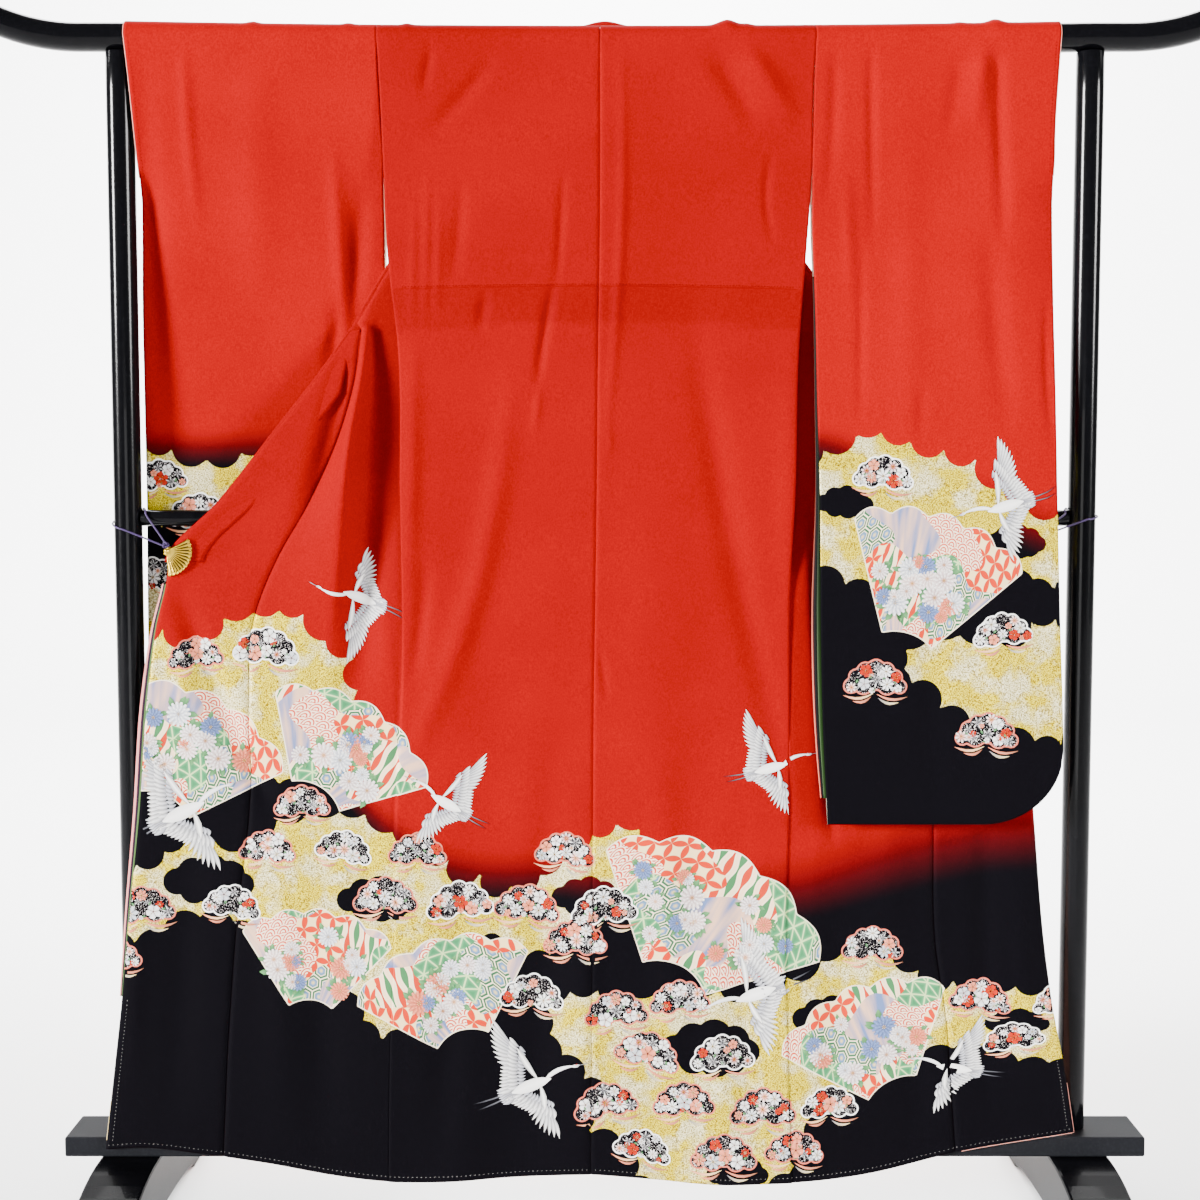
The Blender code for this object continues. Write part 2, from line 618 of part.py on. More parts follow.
def base_board():
    """The flat board that the posts stand on."""
    bpy.ops.mesh.primitive_cube_add(size=1.0, location=(0.0, 0.0, BOARD_TOP - BOARD_THICKNESS / 2))
    item = bpy.context.object
    item.name = "base_board"
    size = (2 * BOARD_HALF_LENGTH, 2 * BOARD_HALF_DEPTH, BOARD_THICKNESS)
    item.data.transform(Matrix.Diagonal((*size, 1.0)))
    adopt(item, "grey_lacquer")
    bevel = item.modifiers.new("edges", 'BEVEL')
    bevel.width = 0.003
    bevel.segments = 2


def foot_outline():
    """A foot seen from the side: a flat seat under the board, a rounded fall to each tip, and two
    flat pads with a shallow arch between them."""
    top = BOARD_TOP - BOARD_THICKNESS - SEAM
    falls = np.linspace(0.0, 1.0, 9)
    reach = FOOT_SEAT + (FOOT_REACH - FOOT_SEAT) * falls
    height = top - (top - FOOT_TIP_HEIGHT) * falls ** FOOT_FALL
    front_top = list(zip(reach, height))
    inner = FOOT_REACH - FOOT_PAD
    arch_turns = np.linspace(0.0, math.pi, 9)
    arch = [(-inner * math.cos(turn), FOOT_ARCH * math.sin(turn)) for turn in arch_turns]
    right_tip = [(FOOT_REACH, FOOT_CORNER), (FOOT_REACH - FOOT_CORNER, 0.0)]
    left_tip = [(-FOOT_REACH + FOOT_CORNER, 0.0), (-FOOT_REACH, FOOT_CORNER)]
    left_top = [(-y, z) for y, z in front_top[::-1]]
    return front_top + right_tip + arch[::-1] + left_tip + left_top


def feet():
    """Two feet across the ends of the board, each cut from one thick plank."""
    stand_up = Matrix(((0, 0, 1, 0), (1, 0, 0, 0), (0, 1, 0, 0), (0, 0, 0, 1)))
    for name, side in [("foot_left", -1), ("foot_right", 1)]:
        mesh = outline_plate(name, foot_outline(), FOOT_WIDTH)
        mesh.transform(stand_up)
        item = add_object(name, mesh, "black_lacquer")
        item.location = (side * FOOT_OUT, 0.0, 0.0)
        bevel = item.modifiers.new("edges", 'BEVEL')
        bevel.limit_method = 'ANGLE'
        bevel.angle_limit = math.radians(50)
        bevel.width = 0.004
        bevel.segments = 2


def clip_place(side):
    """The clip's eye: just outside the cloth's edge at the collar's foot."""
    table = FRONT_LEFT if side < 0 else FRONT_RIGHT
    height = CLIP_HEIGHT[side]
    return table.at("edge", COLLAR_FOOT) + CLIP_OUTSIDE, height


def fan_clip(name, side):
    """A folding-fan clip: the fan lies on the cloth, a plain jaw lies behind it, and the eye
    outside the cloth's edge joins the two."""
    out, height = clip_place(side)
    depth = FRONT_LEFT.at("depth", height)
    front_y = depth - LAYER / 2 - SEAM / 2 - CLIP_PLATE / 2
    jaw_y = depth + LAYER + LAYER / 2 + SEAM / 2 + CLIP_PLATE / 2
    turns = np.linspace(FAN_FIRST, FAN_LAST, 14)
    fan = [(FAN_RADIUS * math.cos(turn), FAN_RADIUS * math.sin(turn)) for turn in turns]
    fan += [(-CLIP_HEEL, -CLIP_HEEL), (-CLIP_HEEL, CLIP_HEEL)]
    aim = (FAN_FIRST + FAN_LAST) / 2
    along = Vector((math.cos(aim), math.sin(aim)))
    across = Vector((-along.y, along.x)) * CLIP_JAW_WIDTH / 2
    jaw = [-CLIP_HEEL * along - across, CLIP_JAW_LENGTH * along - across,
           CLIP_JAW_LENGTH * along + across, -CLIP_HEEL * along + across]
    stand_up = Matrix(((1, 0, 0, 0), (0, 0, 1, 0), (0, 1, 0, 0), (0, 0, 0, 1)))
    plates = []
    for label, outline, y in [("fan", fan, front_y), ("jaw", [tuple(point) for point in jaw], jaw_y)]:
        mesh = outline_plate(name + "_" + label, outline, CLIP_PLATE)
        mesh.transform(Matrix.Translation((0, y, 0)) @ stand_up)
        mesh.flip_normals()
        plates.append(mesh)
    eye_length = jaw_y - front_y + CLIP_PLATE + 2 * CLIP_EYE_PROUD
    bpy.ops.mesh.primitive_cylinder_add(vertices=16, radius=CLIP_EYE, depth=eye_length)
    eye = bpy.context.object
    eye.name = name
    eye.data.transform(Matrix.Translation((0, (front_y + jaw_y) / 2, 0)) @ Matrix.Rotation(math.pi / 2, 4, 'X'))
    adopt(eye, "gilt_metal")
    for mesh in plates:
        cutter = bpy.data.objects.new(mesh.name, mesh)
        CUTTERS.objects.link(cutter)
        cutter.hide_render = True
        cutter.display_type = 'WIRE'
        joint = eye.modifiers.new(mesh.name, 'BOOLEAN')
        joint.operation = 'UNION'
        joint.object = cutter
        cutter.parent = eye
    eye.location = (-out, 0.0, height)
    if side > 0:
        mirror_clip(eye, out, height)


def mirror_clip(eye, out, height):
    """Turns the left-hand clip into a right-hand one by mirroring its plates."""
    eye.location = (out, 0.0, height)
    for cutter in eye.children:
        cutter.data.transform(Matrix.Diagonal((-1, 1, 1, 1)))
        cutter.data.flip_normals()


def smooth_route(points, step):
    """A smooth curve through the route's own points, with equal steps along it."""
    knots = np.array(points, dtype=float)
    padded = np.concatenate([[2 * knots[0] - knots[1]], knots, [2 * knots[-1] - knots[-2]]])
    share = np.linspace(0.0, 1.0, 12, endpoint=False)[:, None]
    fine = []
    for index in range(1, len(padded) - 2):
        before, first, second, after = padded[index - 1:index + 3]
        fine.append(first + 0.5 * share * (second - before
                    + share * (2 * before - 5 * first + 4 * second - after
                               + share * (3 * (first - second) + after - before))))
    path = np.concatenate(fine + [knots[-1:]])
    length = np.linalg.norm(np.diff(path, axis=0), axis=1).sum()
    return resample(path, round(length / step) + 1)


def tie(name, side):
    """The cord from a clip's eye: across the front of the post, round behind it, and back over
    the rail to the eye."""
    out, height = clip_place(side)
    depth = FRONT_LEFT.at("depth", height)
    start = np.array([out + 0.2 * TIE_FROM_EYE, depth, height + 0.98 * TIE_FROM_EYE])
    low, high = height + TIE_RISE[side], RAIL_HEIGHT + RAIL_RADIUS + TIE_CLEAR
    around = POST_RADIUS + TIE_CLEAR
    wrap = []
    for turn in np.radians(np.linspace(-92, 168, 12)):
        share = (turn + math.pi / 2) / math.radians(258)
        wrap.append((POST_OUT + around * math.cos(turn), around * math.sin(turn),
                     low + (high - low) * np.clip(share, 0.0, 1.0)))
    past_rail = []
    for turn in np.radians([35, 75]):
        past_rail.append((wrap[-1][0] - 0.003 - 0.004 * turn, -(RAIL_RADIUS + TIE_CLEAR) * math.sin(turn),
                          RAIL_HEIGHT + (RAIL_RADIUS + TIE_CLEAR) * math.cos(turn)))
    end = start + np.array([0.0005, 0.0, 0.0046])
    going = start + 0.5 * (np.array(wrap[0]) - start)
    coming = end + 0.4 * (np.array(past_rail[-1]) - end)
    route = [start, going] + wrap + past_rail + [coming, end]
    tube(name, smooth_route([(side * x, y, z) for x, y, z in route], TIE_STEP), TIE_RADIUS, 2, "purple_cord")


clear_scene()
PARTS = new_collection("furisode_on_rack")
CUTTERS = new_collection("cutters")

for SIDE_NAME, SIDE in [("left", -1), ("right", 1)]:
    back_panel("back_" + SIDE_NAME, SIDE)
    front_panel("front_" + SIDE_NAME, SIDE)
    okumi_panel("okumi_" + SIDE_NAME, SIDE)
    collar_panel("collar_" + SIDE_NAME, SIDE)
    sleeve("sleeve_" + SIDE_NAME, SIDE)
    fan_clip("clip_" + SIDE_NAME, SIDE)
    tie("tie_" + SIDE_NAME, SIDE)
neck_collar("collar_neck")
sleeve_layers("sleeve_layers_right", 1)
front_layers("front_layers_left", -1)

top_bar()
rack_posts()
base_board()
feet()
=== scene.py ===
"""A long-sleeved furisode hung back to front on a black lacquered kimono rack.

Metres, +Z up, the garment's back towards -Y. "Out" is the distance from the garment's middle
towards either side. A place on the cloth is (u, v): u runs across it, along X, and v is the
height at which that thread of the cloth hangs before the hem's own line is worked in.
"""

import math

import bpy
import numpy as np
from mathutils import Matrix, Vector


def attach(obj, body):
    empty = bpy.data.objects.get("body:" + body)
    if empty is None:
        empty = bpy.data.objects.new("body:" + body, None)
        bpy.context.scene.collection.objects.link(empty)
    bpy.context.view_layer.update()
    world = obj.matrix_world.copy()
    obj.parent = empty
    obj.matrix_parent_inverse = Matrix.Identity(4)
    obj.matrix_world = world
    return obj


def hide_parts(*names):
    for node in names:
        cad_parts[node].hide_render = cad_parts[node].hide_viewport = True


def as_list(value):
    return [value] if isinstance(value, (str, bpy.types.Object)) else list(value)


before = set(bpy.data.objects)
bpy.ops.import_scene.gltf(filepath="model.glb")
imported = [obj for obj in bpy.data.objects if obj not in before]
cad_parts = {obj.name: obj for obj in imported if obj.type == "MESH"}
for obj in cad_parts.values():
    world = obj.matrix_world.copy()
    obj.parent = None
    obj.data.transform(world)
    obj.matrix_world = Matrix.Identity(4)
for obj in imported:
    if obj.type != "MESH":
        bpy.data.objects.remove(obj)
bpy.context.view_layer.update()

# The view: a camera 2.55 m in front of the rack, tilted a little down, and a pale paper
# backdrop that runs from the floor up behind the rack in one curve.
CAMERA_PLACE = (-0.007, -2.55, 1.083)
CAMERA_TILT = math.radians(4.1)
CAMERA_LENS = 53.58

camera_data = bpy.data.cameras.new("camera")
camera_data.lens = CAMERA_LENS
camera_data.sensor_width = 36.0
camera = bpy.data.objects.new("camera", camera_data)
camera.location = CAMERA_PLACE
camera.rotation_euler = (math.pi / 2 - CAMERA_TILT, 0.0, 0.0)
bpy.context.scene.collection.objects.link(camera)
bpy.context.scene.camera = camera


class Recipe:
    """A material's node tree, with short calls for its nodes."""

    def __init__(self, name):
        self.material = bpy.data.materials.new(name)
        self.material.use_nodes = True
        self.tree = self.material.node_tree
        self.shader = self.tree.nodes["Principled BSDF"]

    def join(self, value, socket):
        if isinstance(value, bpy.types.NodeSocket):
            self.tree.links.new(value, socket)
        elif hasattr(value, "__len__"):
            socket.default_value = (*value, 1.0) if socket.type == 'RGBA' else value
        else:
            socket.default_value = value

    def node(self, kind, output, settings=(), **inputs):
        made = self.tree.nodes.new(kind)
        for key, value in settings:
            setattr(made, key, value)
        for key, value in inputs.items():
            self.join(value, made.inputs[key.replace("_", " ")])
        return made.outputs[output]

    def sum(self, operation, *values):
        made = self.tree.nodes.new("ShaderNodeMath")
        made.operation = operation
        for value, socket in zip(values, made.inputs):
            self.join(value, socket)
        return made.outputs[0]

    def times(self, first, second):
        return self.sum('MULTIPLY', first, second)

    def plus(self, first, second):
        return self.sum('ADD', first, second)

    def minus(self, first, second):
        return self.sum('SUBTRACT', first, second)

    def mix(self, share, first, second):
        made = self.tree.nodes.new("ShaderNodeMix")
        made.data_type = 'RGBA'
        self.join(share, made.inputs[0])
        self.join(first, made.inputs[6])
        self.join(second, made.inputs[7])
        return made.outputs[2]

    def ramp(self, value, *stops):
        """Colours at places from 0 to 1."""
        made = self.tree.nodes.new("ShaderNodeValToRGB")
        elements = made.color_ramp.elements
        while len(elements) < len(stops):
            elements.new(0.5)
        for element, (place, colour) in zip(elements, stops):
            element.position = place
            element.color = (*colour, 1.0)
        self.join(value, made.inputs[0])
        return made.outputs[0]

    def span(self, value, low, high):
        """0 below the low value, 1 above the high one, and a straight run between."""
        return self.node("ShaderNodeMapRange", "Result", Value=value, From_Min=low, From_Max=high)

    def between(self, value, low, high):
        """The low value where the given one is 0, and the high one where it is 1."""
        return self.node("ShaderNodeMapRange", "Result", Value=value, To_Min=low, To_Max=high)

    def read(self, attribute, output="Fac"):
        return self.node("ShaderNodeAttribute", output, [("attribute_name", attribute)])

    def place(self):
        return self.node("ShaderNodeTexCoord", "Object")

    def noise(self, place, scale, detail=2.0):
        return self.node("ShaderNodeTexNoise", "Fac", Vector=place, Scale=scale, Detail=detail)

    def bump(self, height, strength, distance):
        made = self.node("ShaderNodeBump", "Normal", Height=height, Strength=strength, Distance=distance)
        self.join(made, self.shader.inputs["Normal"])

    def finish(self, **values):
        for key, value in values.items():
            self.join(value, self.shader.inputs[key.replace("_", " ")])
        return self.material


def new_piece(name, vertices, faces, *materials):
    """A smooth object at the origin whose mesh holds the given points and faces."""
    mesh = bpy.data.meshes.new(name)
    mesh.from_pydata(np.reshape(vertices, (-1, 3)), [], faces)
    mesh.update()
    for material in materials:
        mesh.materials.append(material)
    mesh.shade_smooth()
    piece = bpy.data.objects.new(name, mesh)
    bpy.context.scene.collection.objects.link(piece)
    return piece


def grid_faces(rows, columns, round_columns=False):
    """Four-cornered faces of a grid of points numbered row by row. A round grid joins its last
    column to its first."""
    index = np.arange(rows * columns).reshape(rows, columns)
    after = np.roll(index, -1, axis=1) if round_columns else index[:, 1:]
    before = index if round_columns else index[:, :-1]
    return np.stack([before[:-1], after[:-1], after[1:], before[1:]], axis=-1).reshape(-1, 4)


BACKDROP_FRONT, BACKDROP_REAR, BACKDROP_TOP = -9.0, 7.0, 9.0
BACKDROP_BEND, BACKDROP_HALF_WIDTH = 1.5, 11.0
turns = np.linspace(0.0, math.pi / 2, 16)
backdrop_y = np.concatenate([
    [BACKDROP_FRONT], BACKDROP_REAR - BACKDROP_BEND * (1.0 - np.sin(turns)), [BACKDROP_REAR]])
backdrop_z = np.concatenate([[0.0], BACKDROP_BEND * (1.0 - np.cos(turns)), [BACKDROP_TOP]])
backdrop_points = np.stack(np.broadcast_arrays(
    [BACKDROP_HALF_WIDTH, -BACKDROP_HALF_WIDTH], backdrop_y[:, None], backdrop_z[:, None]), axis=-1)
paper = Recipe("pale_paper").finish(Base_Color=(0.92, 0.92, 0.92), Roughness=0.9)
backdrop = new_piece("backdrop", backdrop_points, grid_faces(len(backdrop_y), 2), paper)

world = bpy.data.worlds.new("white_room")
world.use_nodes = True
world.node_tree.nodes["Background"].inputs["Color"].default_value = (1.0, 1.0, 1.0, 1.0)
world.node_tree.nodes["Background"].inputs["Strength"].default_value = 0.15
bpy.context.scene.world = world

# Two wide far lamps stand to the sides, so that the folds show, and two soft panels light the
# lower front and the backdrop
for name, kind, place, aim, size, power in [
    ("key_light", 'SUN', (-4.2, -2.2, 1.85), (0.0, 0.0, 1.0), math.radians(12), 16.0),
    ("side_light", 'SUN', (4.2, -2.2, 1.85), (0.0, 0.0, 1.0), math.radians(16), 5.5),
    ("low_light", 'AREA', (-0.3, -3.8, 0.6), (0.0, 0.0, 0.6), 1.4, 40.0),
    ("back_light", 'AREA', (0.0, 3.2, 4.7), (0.0, 5.5, 0.8), 5.0, 1700.0),
]:
    lamp = bpy.data.lights.new(name, kind)
    if kind == 'SUN':
        lamp.angle = size
    else:
        lamp.shape = 'SQUARE'
        lamp.size = size
    lamp.energy = power
    light = bpy.data.objects.new(name, lamp)
    light.location = place
    light.rotation_euler = (Vector(aim) - Vector(place)).to_track_quat('-Z', 'Y').to_euler()
    bpy.context.scene.collection.objects.link(light)

# The tie cords: a 2.5 mm braid of purple thread, knotted to each fan clip's eye, taken across
# the front of the post, round behind it and back over the rail to the eye.
SIDES = {-1: "left", 1: "right"}
CLIPS = {-1: (0.61956, 0.9716), 1: (0.58468, 0.9750)}  # out, height
POST_OUT, POST_RADIUS = 0.680, 0.0195
RAIL_HEIGHT, RAIL_RADIUS = 1.0175, 0.0115
TIE_RISE = {-1: 0.0290, 1: 0.0400}
TIE_RADIUS = 0.00125
TIE_DEPTH = -0.0255
TIE_CLEAR = TIE_RADIUS + 0.0009
TIE_FROM_EYE = 0.0045 + TIE_RADIUS + 0.0003
TIE_SWELL = 0.09
KNOT_FROM_EYE = (0.0, -0.0022, 0.0024)


def clamp(value):
    """The value, held between 0 and 1."""
    return np.clip(value, 0.0, 1.0)


def unit(rows):
    """The rows, each scaled to a length of 1."""
    return rows / np.linalg.norm(rows, axis=-1, keepdims=True)


def compass(angle):
    """The direction that each angle points in, as (cosine, sine)."""
    return np.stack([np.cos(angle), np.sin(angle)], axis=-1)


def length_of(path):
    """The lengths of the path's steps, added up."""
    return float(np.linalg.norm(np.diff(path, axis=0), axis=1).sum())


def even_steps(path, count):
    """The path's points, moved to equal distances along it."""
    along = np.concatenate([[0.0], np.cumsum(np.linalg.norm(np.diff(path, axis=0), axis=1))])
    places = np.linspace(0.0, along[-1], count)
    return np.stack([np.interp(places, along, axis) for axis in path.T], axis=1)


def smooth_route(knots, step):
    """A cubic through the knots, each slope half the way between the two neighbours, in equal
    steps."""
    padded = np.concatenate([[2 * knots[0] - knots[1]], knots, [2 * knots[-1] - knots[-2]]])
    before, first, second, after = (padded[k:len(padded) - 3 + k, None] for k in range(4))
    share = np.linspace(0.0, 1.0, 12, endpoint=False)[None, :, None]
    bends = first + 0.5 * share * (second - before + share * (
        2 * before - 5 * first + 4 * second - after + share * (3 * (first - second) + after - before)))
    path = np.concatenate([bends.reshape(-1, 3), knots[-1:]])
    return even_steps(path, round(length_of(path) / step) + 1)


def tie_route(side):
    """The cord's own line: from the eye to the post, a turn of 260 degrees round it while it
    climbs, over the rail, and back to the eye."""
    out, height = CLIPS[side]
    start = np.array([out + 0.2 * TIE_FROM_EYE, TIE_DEPTH, height + 0.98 * TIE_FROM_EYE])
    turn = np.radians(np.linspace(-92, 168, 12))
    low, high = height + TIE_RISE[side], RAIL_HEIGHT + RAIL_RADIUS + TIE_CLEAR
    climb = clamp((turn + math.pi / 2) / math.radians(258))
    wrap = np.column_stack([np.array([POST_OUT, 0.0]) + (POST_RADIUS + TIE_CLEAR) * compass(turn),
                            low + (high - low) * climb])
    over = np.radians([35.0, 75.0])
    rail = RAIL_RADIUS + TIE_CLEAR
    past_rail = np.stack([wrap[-1, 0] - 0.003 - 0.004 * over, -rail * np.sin(over),
                          RAIL_HEIGHT + rail * np.cos(over)], 1)
    end = start + np.array([0.0005, 0.0, 0.0046])
    knots = np.concatenate([[start, start + 0.5 * (wrap[0] - start)], wrap, past_rail,
                            [end + 0.4 * (past_rail[-1] - end), end]])
    return knots * np.array([side, 1.0, 1.0])


def tube_grid(path, radius, sides, swell=0.0, lobes=3, pitch=0.004, closed=False):
    """Rings of points round a path. Each ring stands square to the path, turned as little as
    possible from the ring before. The radius swells by the product of two opposite helices,
    sin(lobes a + k s) sin(lobes a - k s), which gives a braid."""
    step = np.roll(path, -1, axis=0) - np.roll(path, 1, axis=0) if closed else np.gradient(path, axis=0)
    ahead = unit(step)
    aside = np.zeros_like(path)
    last = np.cross(ahead[0], [0.3, 0.2, 0.93])
    for place, direction in enumerate(ahead):
        last = unit(last - direction * (last @ direction))
        aside[place] = last
    upward = np.cross(ahead, aside)
    angle = np.linspace(0.0, math.tau, sides, endpoint=False)
    steps = np.linalg.norm(np.diff(path, axis=0, prepend=path[:1]), axis=1)
    run = np.cumsum(steps)[:, None] * math.tau / pitch
    reach = radius * (1.0 + swell * np.sin(lobes * angle + run) * np.sin(lobes * angle - run))
    return (path[:, None] + (np.cos(angle)[None, :, None] * aside[:, None]
            + np.sin(angle)[None, :, None] * upward[:, None]) * reach[..., None])


def tube_piece(name, path, radius, sides, material, closed=False, **form):
    """A tube along a path, with a flat many-cornered face over each end, or closed in a ring. The
    radius is one number, or a column with one for each point of the path."""
    rings = tube_grid(path, radius, sides, closed=closed, **form)
    count = len(path)
    faces = grid_faces(count, sides, round_columns=True).tolist()
    if closed:
        last, first = np.arange(sides) + (count - 1) * sides, np.arange(sides)
        faces += np.stack([last, np.roll(last, -1), np.roll(first, -1), first], 1).tolist()
    else:
        faces += [list(range(sides))[::-1], list(range((count - 1) * sides, count * sides))]
    return new_piece(name, rings, faces, material)


def settle(piece, slot, *nodes):
    """Fixes a piece to the one body and hides the imported solids that it stands for, if any.
    The slot is not used."""
    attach(piece, "root")
    if nodes:
        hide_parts(*nodes)
    return piece


thread = Recipe("purple_braid")
grain = thread.noise(thread.place(), 2600.0, 3.0)
thread.bump(grain, 0.5, 0.0002)
thread.finish(
    Base_Color=thread.ramp(grain, (0.3, (0.010, 0.003, 0.030)), (0.7, (0.040, 0.012, 0.095))),
    Roughness=0.62)
for side, label in SIDES.items():
    name = "tie_" + label
    route = smooth_route(tie_route(side), 0.0006)
    cord = tube_piece(name + "_braid", route, TIE_RADIUS, 12, thread.material, swell=TIE_SWELL)
    loop = np.linspace(0.0, math.tau, 90, endpoint=False)
    wide = 0.0030 + 0.0012 * np.cos(3 * loop)
    knot_path = np.stack([wide * np.cos(2 * loop), 0.0014 * np.sin(3 * loop), wide * np.sin(2 * loop)], 1)
    knot = tube_piece(name + "_knot", route[0] + KNOT_FROM_EYE + knot_path, TIE_RADIUS * 0.9, 10,
                      thread.material, closed=True, swell=TIE_SWELL)
    settle(cord, "purple_cord", name)
    settle(knot, "purple_cord")
    length_of(route)

# The back: two lengths of dyed silk crepe sewn down the middle of the back, each hung from the
# top of the bar to the hem, with the tuck that shortens the garment sewn across at the waist.
WALL = 0.0014
BAR_HEIGHT, BAR_SAG = 1.690, 0.0065
SIDE_SEAM_TOP, OKUMI_TOP, CHEST_FOOT = 1.378, 1.284, 1.29
CREST = 0.0213
HEM_LEVEL, HEM_FADE = 0.07, 0.25
SEAM = 0.0004
LAYER = 0.0018
TUCK_LEVEL = 1.338
FINE_STEP, COARSE_STEP, FINE_TOP, CREST_ROWS = 0.004, 0.008, 0.95, 12
CENTRE_ROLL, SIDE_ROLL, TUCK_GROOVE, TUCK_PROUD, RIPPLE = 0.0018, 0.0008, 0.0011, 0.0006, 0.004
BAR_FADE = 0.03


def eased(x, places, values):
    """A cubic through the table's values, with the slope at each taken from its neighbours."""
    slopes = np.gradient(values, places)
    row = np.clip(np.searchsorted(places, x) - 1, 0, len(places) - 2)
    step = places[row + 1] - places[row]
    t = clamp((x - places[row]) / step)
    return ((2 * t ** 3 - 3 * t ** 2 + 1) * values[row] + (t ** 3 - 2 * t ** 2 + t) * step * slopes[row]
            + (3 * t ** 2 - 2 * t ** 3) * values[row + 1] + (t ** 3 - t ** 2) * step * slopes[row + 1])


class Table:
    """Sizes by height or by place: rows of named columns, read along eased curves."""

    def __init__(self, columns, rows):
        self.names = columns.split()
        self.rows = np.array(sorted(rows))

    def at(self, column, place):
        return eased(np.asarray(place, float), self.rows[:, 0], self.rows[:, self.names.index(column)])


BODY = Table("height left right centre depth", [
    (0.07, 0.310, 0.268, -0.020, -0.0560), (0.25, 0.307, 0.261, -0.019, -0.0530),
    (0.42, 0.300, 0.257, -0.018, -0.0500), (0.60, 0.296, 0.261, -0.017, -0.0460),
    (0.77, 0.287, 0.261, -0.016, -0.0420), (0.90, 0.286, 0.260, -0.014, -0.0390),
    (1.05, 0.288, 0.267, -0.012, -0.0360), (1.26, 0.290, 0.2715, -0.010, -0.0320),
    (1.378, 0.303, 0.280, -0.008, -0.0295), (1.51, 0.309, 0.2885, -0.007, -0.0265),
    (1.60, 0.3128, 0.2891, -0.007, -0.0240), (1.69, 0.3178, 0.2935, -0.007, -0.0213),
])
HEM = Table("x height", [
    (-0.7144, 0.114), (-0.6699, 0.117), (-0.5796, 0.108), (-0.4835, 0.094), (-0.3846, 0.076),
    (-0.3107, 0.068), (-0.1546, 0.073), (-0.0199, 0.079), (0.1249, 0.066), (0.2673, 0.066),
    (0.372, 0.078), (0.501, 0.110), (0.6682, 0.139),
])

# Soft folds of the back, as straight or slightly bowed lines: depth is how far the cloth goes
# back along the line's middle, and a ridge has a negative one
BACK_CREASES = [  # u0, v0, u1, v1, width, depth, bow
    (-0.127, 1.239, -0.303, 0.617, 0.0130, -0.0068, -0.034),
    (0.118, 1.336, 0.266, 0.617, 0.0144, 0.0068, 0.011),
    (-0.057, 1.508, -0.067, 1.333, 0.0043, 0.0030, 0.000),
    (-0.068, 1.353, -0.095, 1.195, 0.0046, 0.0049, 0.004),
    (-0.090, 1.214, -0.101, 1.128, 0.0040, -0.0019, -0.001),
    (0.023, 1.705, -0.003, 1.086, 0.0050, -0.0027, -0.012),
    (0.177, 1.700, 0.267, 1.567, 0.0100, -0.0068, 0.001),
    (0.137, 1.690, 0.217, 1.556, 0.0115, 0.0068, -0.002),
    (-0.149, 1.664, -0.251, 1.550, 0.0072, 0.0046, -0.004),
    (-0.236, 1.700, -0.255, 1.602, 0.0050, 0.0034, 0.000),
    (-0.247, 1.508, -0.253, 1.274, 0.0045, -0.0017, -0.001),
    (-0.229, 1.480, -0.236, 1.288, 0.0045, -0.0017, 0.000),
    (-0.265, 1.460, -0.270, 1.281, 0.0045, -0.0015, 0.000),
    (-0.199, 1.494, -0.213, 1.336, 0.0065, 0.0030, -0.001),
    (-0.165, 1.333, -0.179, 1.274, 0.0058, 0.0034, -0.001),
    (-0.250, 0.966, -0.274, 0.775, 0.0075, 0.0044, -0.002),
    (-0.267, 1.281, -0.278, 0.881, 0.0086, -0.0042, -0.001),
    (0.257, 1.308, 0.259, 0.803, 0.0130, -0.0030, -0.002),
    (0.234, 1.535, 0.239, 1.391, 0.0042, 0.0027, 0.012),
    (0.000, 1.149, 0.003, 1.107, 0.0036, -0.0015, -0.006),
    (-0.010, 0.846, 0.004, 0.753, 0.0045, 0.0023, -0.001),
    (-0.141, 1.016, 0.155, 1.016, 0.0086, 0.0015, 0.000),
    (-0.064, 0.761, -0.094, 0.080, 0.0200, 0.0061, 0.009),
    (0.078, 0.732, 0.108, 0.080, 0.0200, -0.0065, 0.001),
    (-0.192, 0.560, -0.238, 0.060, 0.0187, 0.0065, 0.008),
    (-0.020, 0.560, -0.030, 0.050, 0.0160, -0.0049, 0.004),
    (0.190, 0.640, 0.215, 0.050, 0.0180, 0.0065, 0.006),
]
# Where the cloth is bunched on the bar and stands off it
BAR_BUNCHES = [  # x, height, width
    (-0.4915, 0.0024, 0.0055), (-0.358, 0.0018, 0.0050), (-0.2765, 0.0020, 0.0050), (0.1707, 0.0078, 0.0110),
    (0.198, 0.0022, 0.0060), (0.4947, 0.0014, 0.0060), (0.5449, 0.0048, 0.0080),
]


def bell(value):
    """1 at 0, falling away on both sides: half of its square as a negative power of e."""
    return np.exp(-0.5 * value ** 2)


def bar_height(x):
    """Height of the bar's axis: it bows down a little between the posts."""
    return BAR_HEIGHT - BAR_SAG * clamp(1.0 - (x / POST_OUT) ** 2)


def over_bar(x, angle):
    """Cloth where it passes over the bar, turned from the top by the angle. Each bunch lifts it by
    a bell across, times the cosine of the angle squared."""
    lift = sum(height * bell((x - middle) / width) for middle, height, width in BAR_BUNCHES)
    radius = CREST + lift * np.cos(angle) ** 2
    return np.stack([x, radius * np.sin(angle), bar_height(x) + radius * np.cos(angle)], axis=-1)


def hem_lift(x, height):
    """A level's height with the hem's own line worked into the lowest part."""
    fade = clamp(1.0 - (height - HEM_LEVEL) / HEM_FADE)
    return height + (HEM.at("height", x) - HEM_LEVEL) * fade


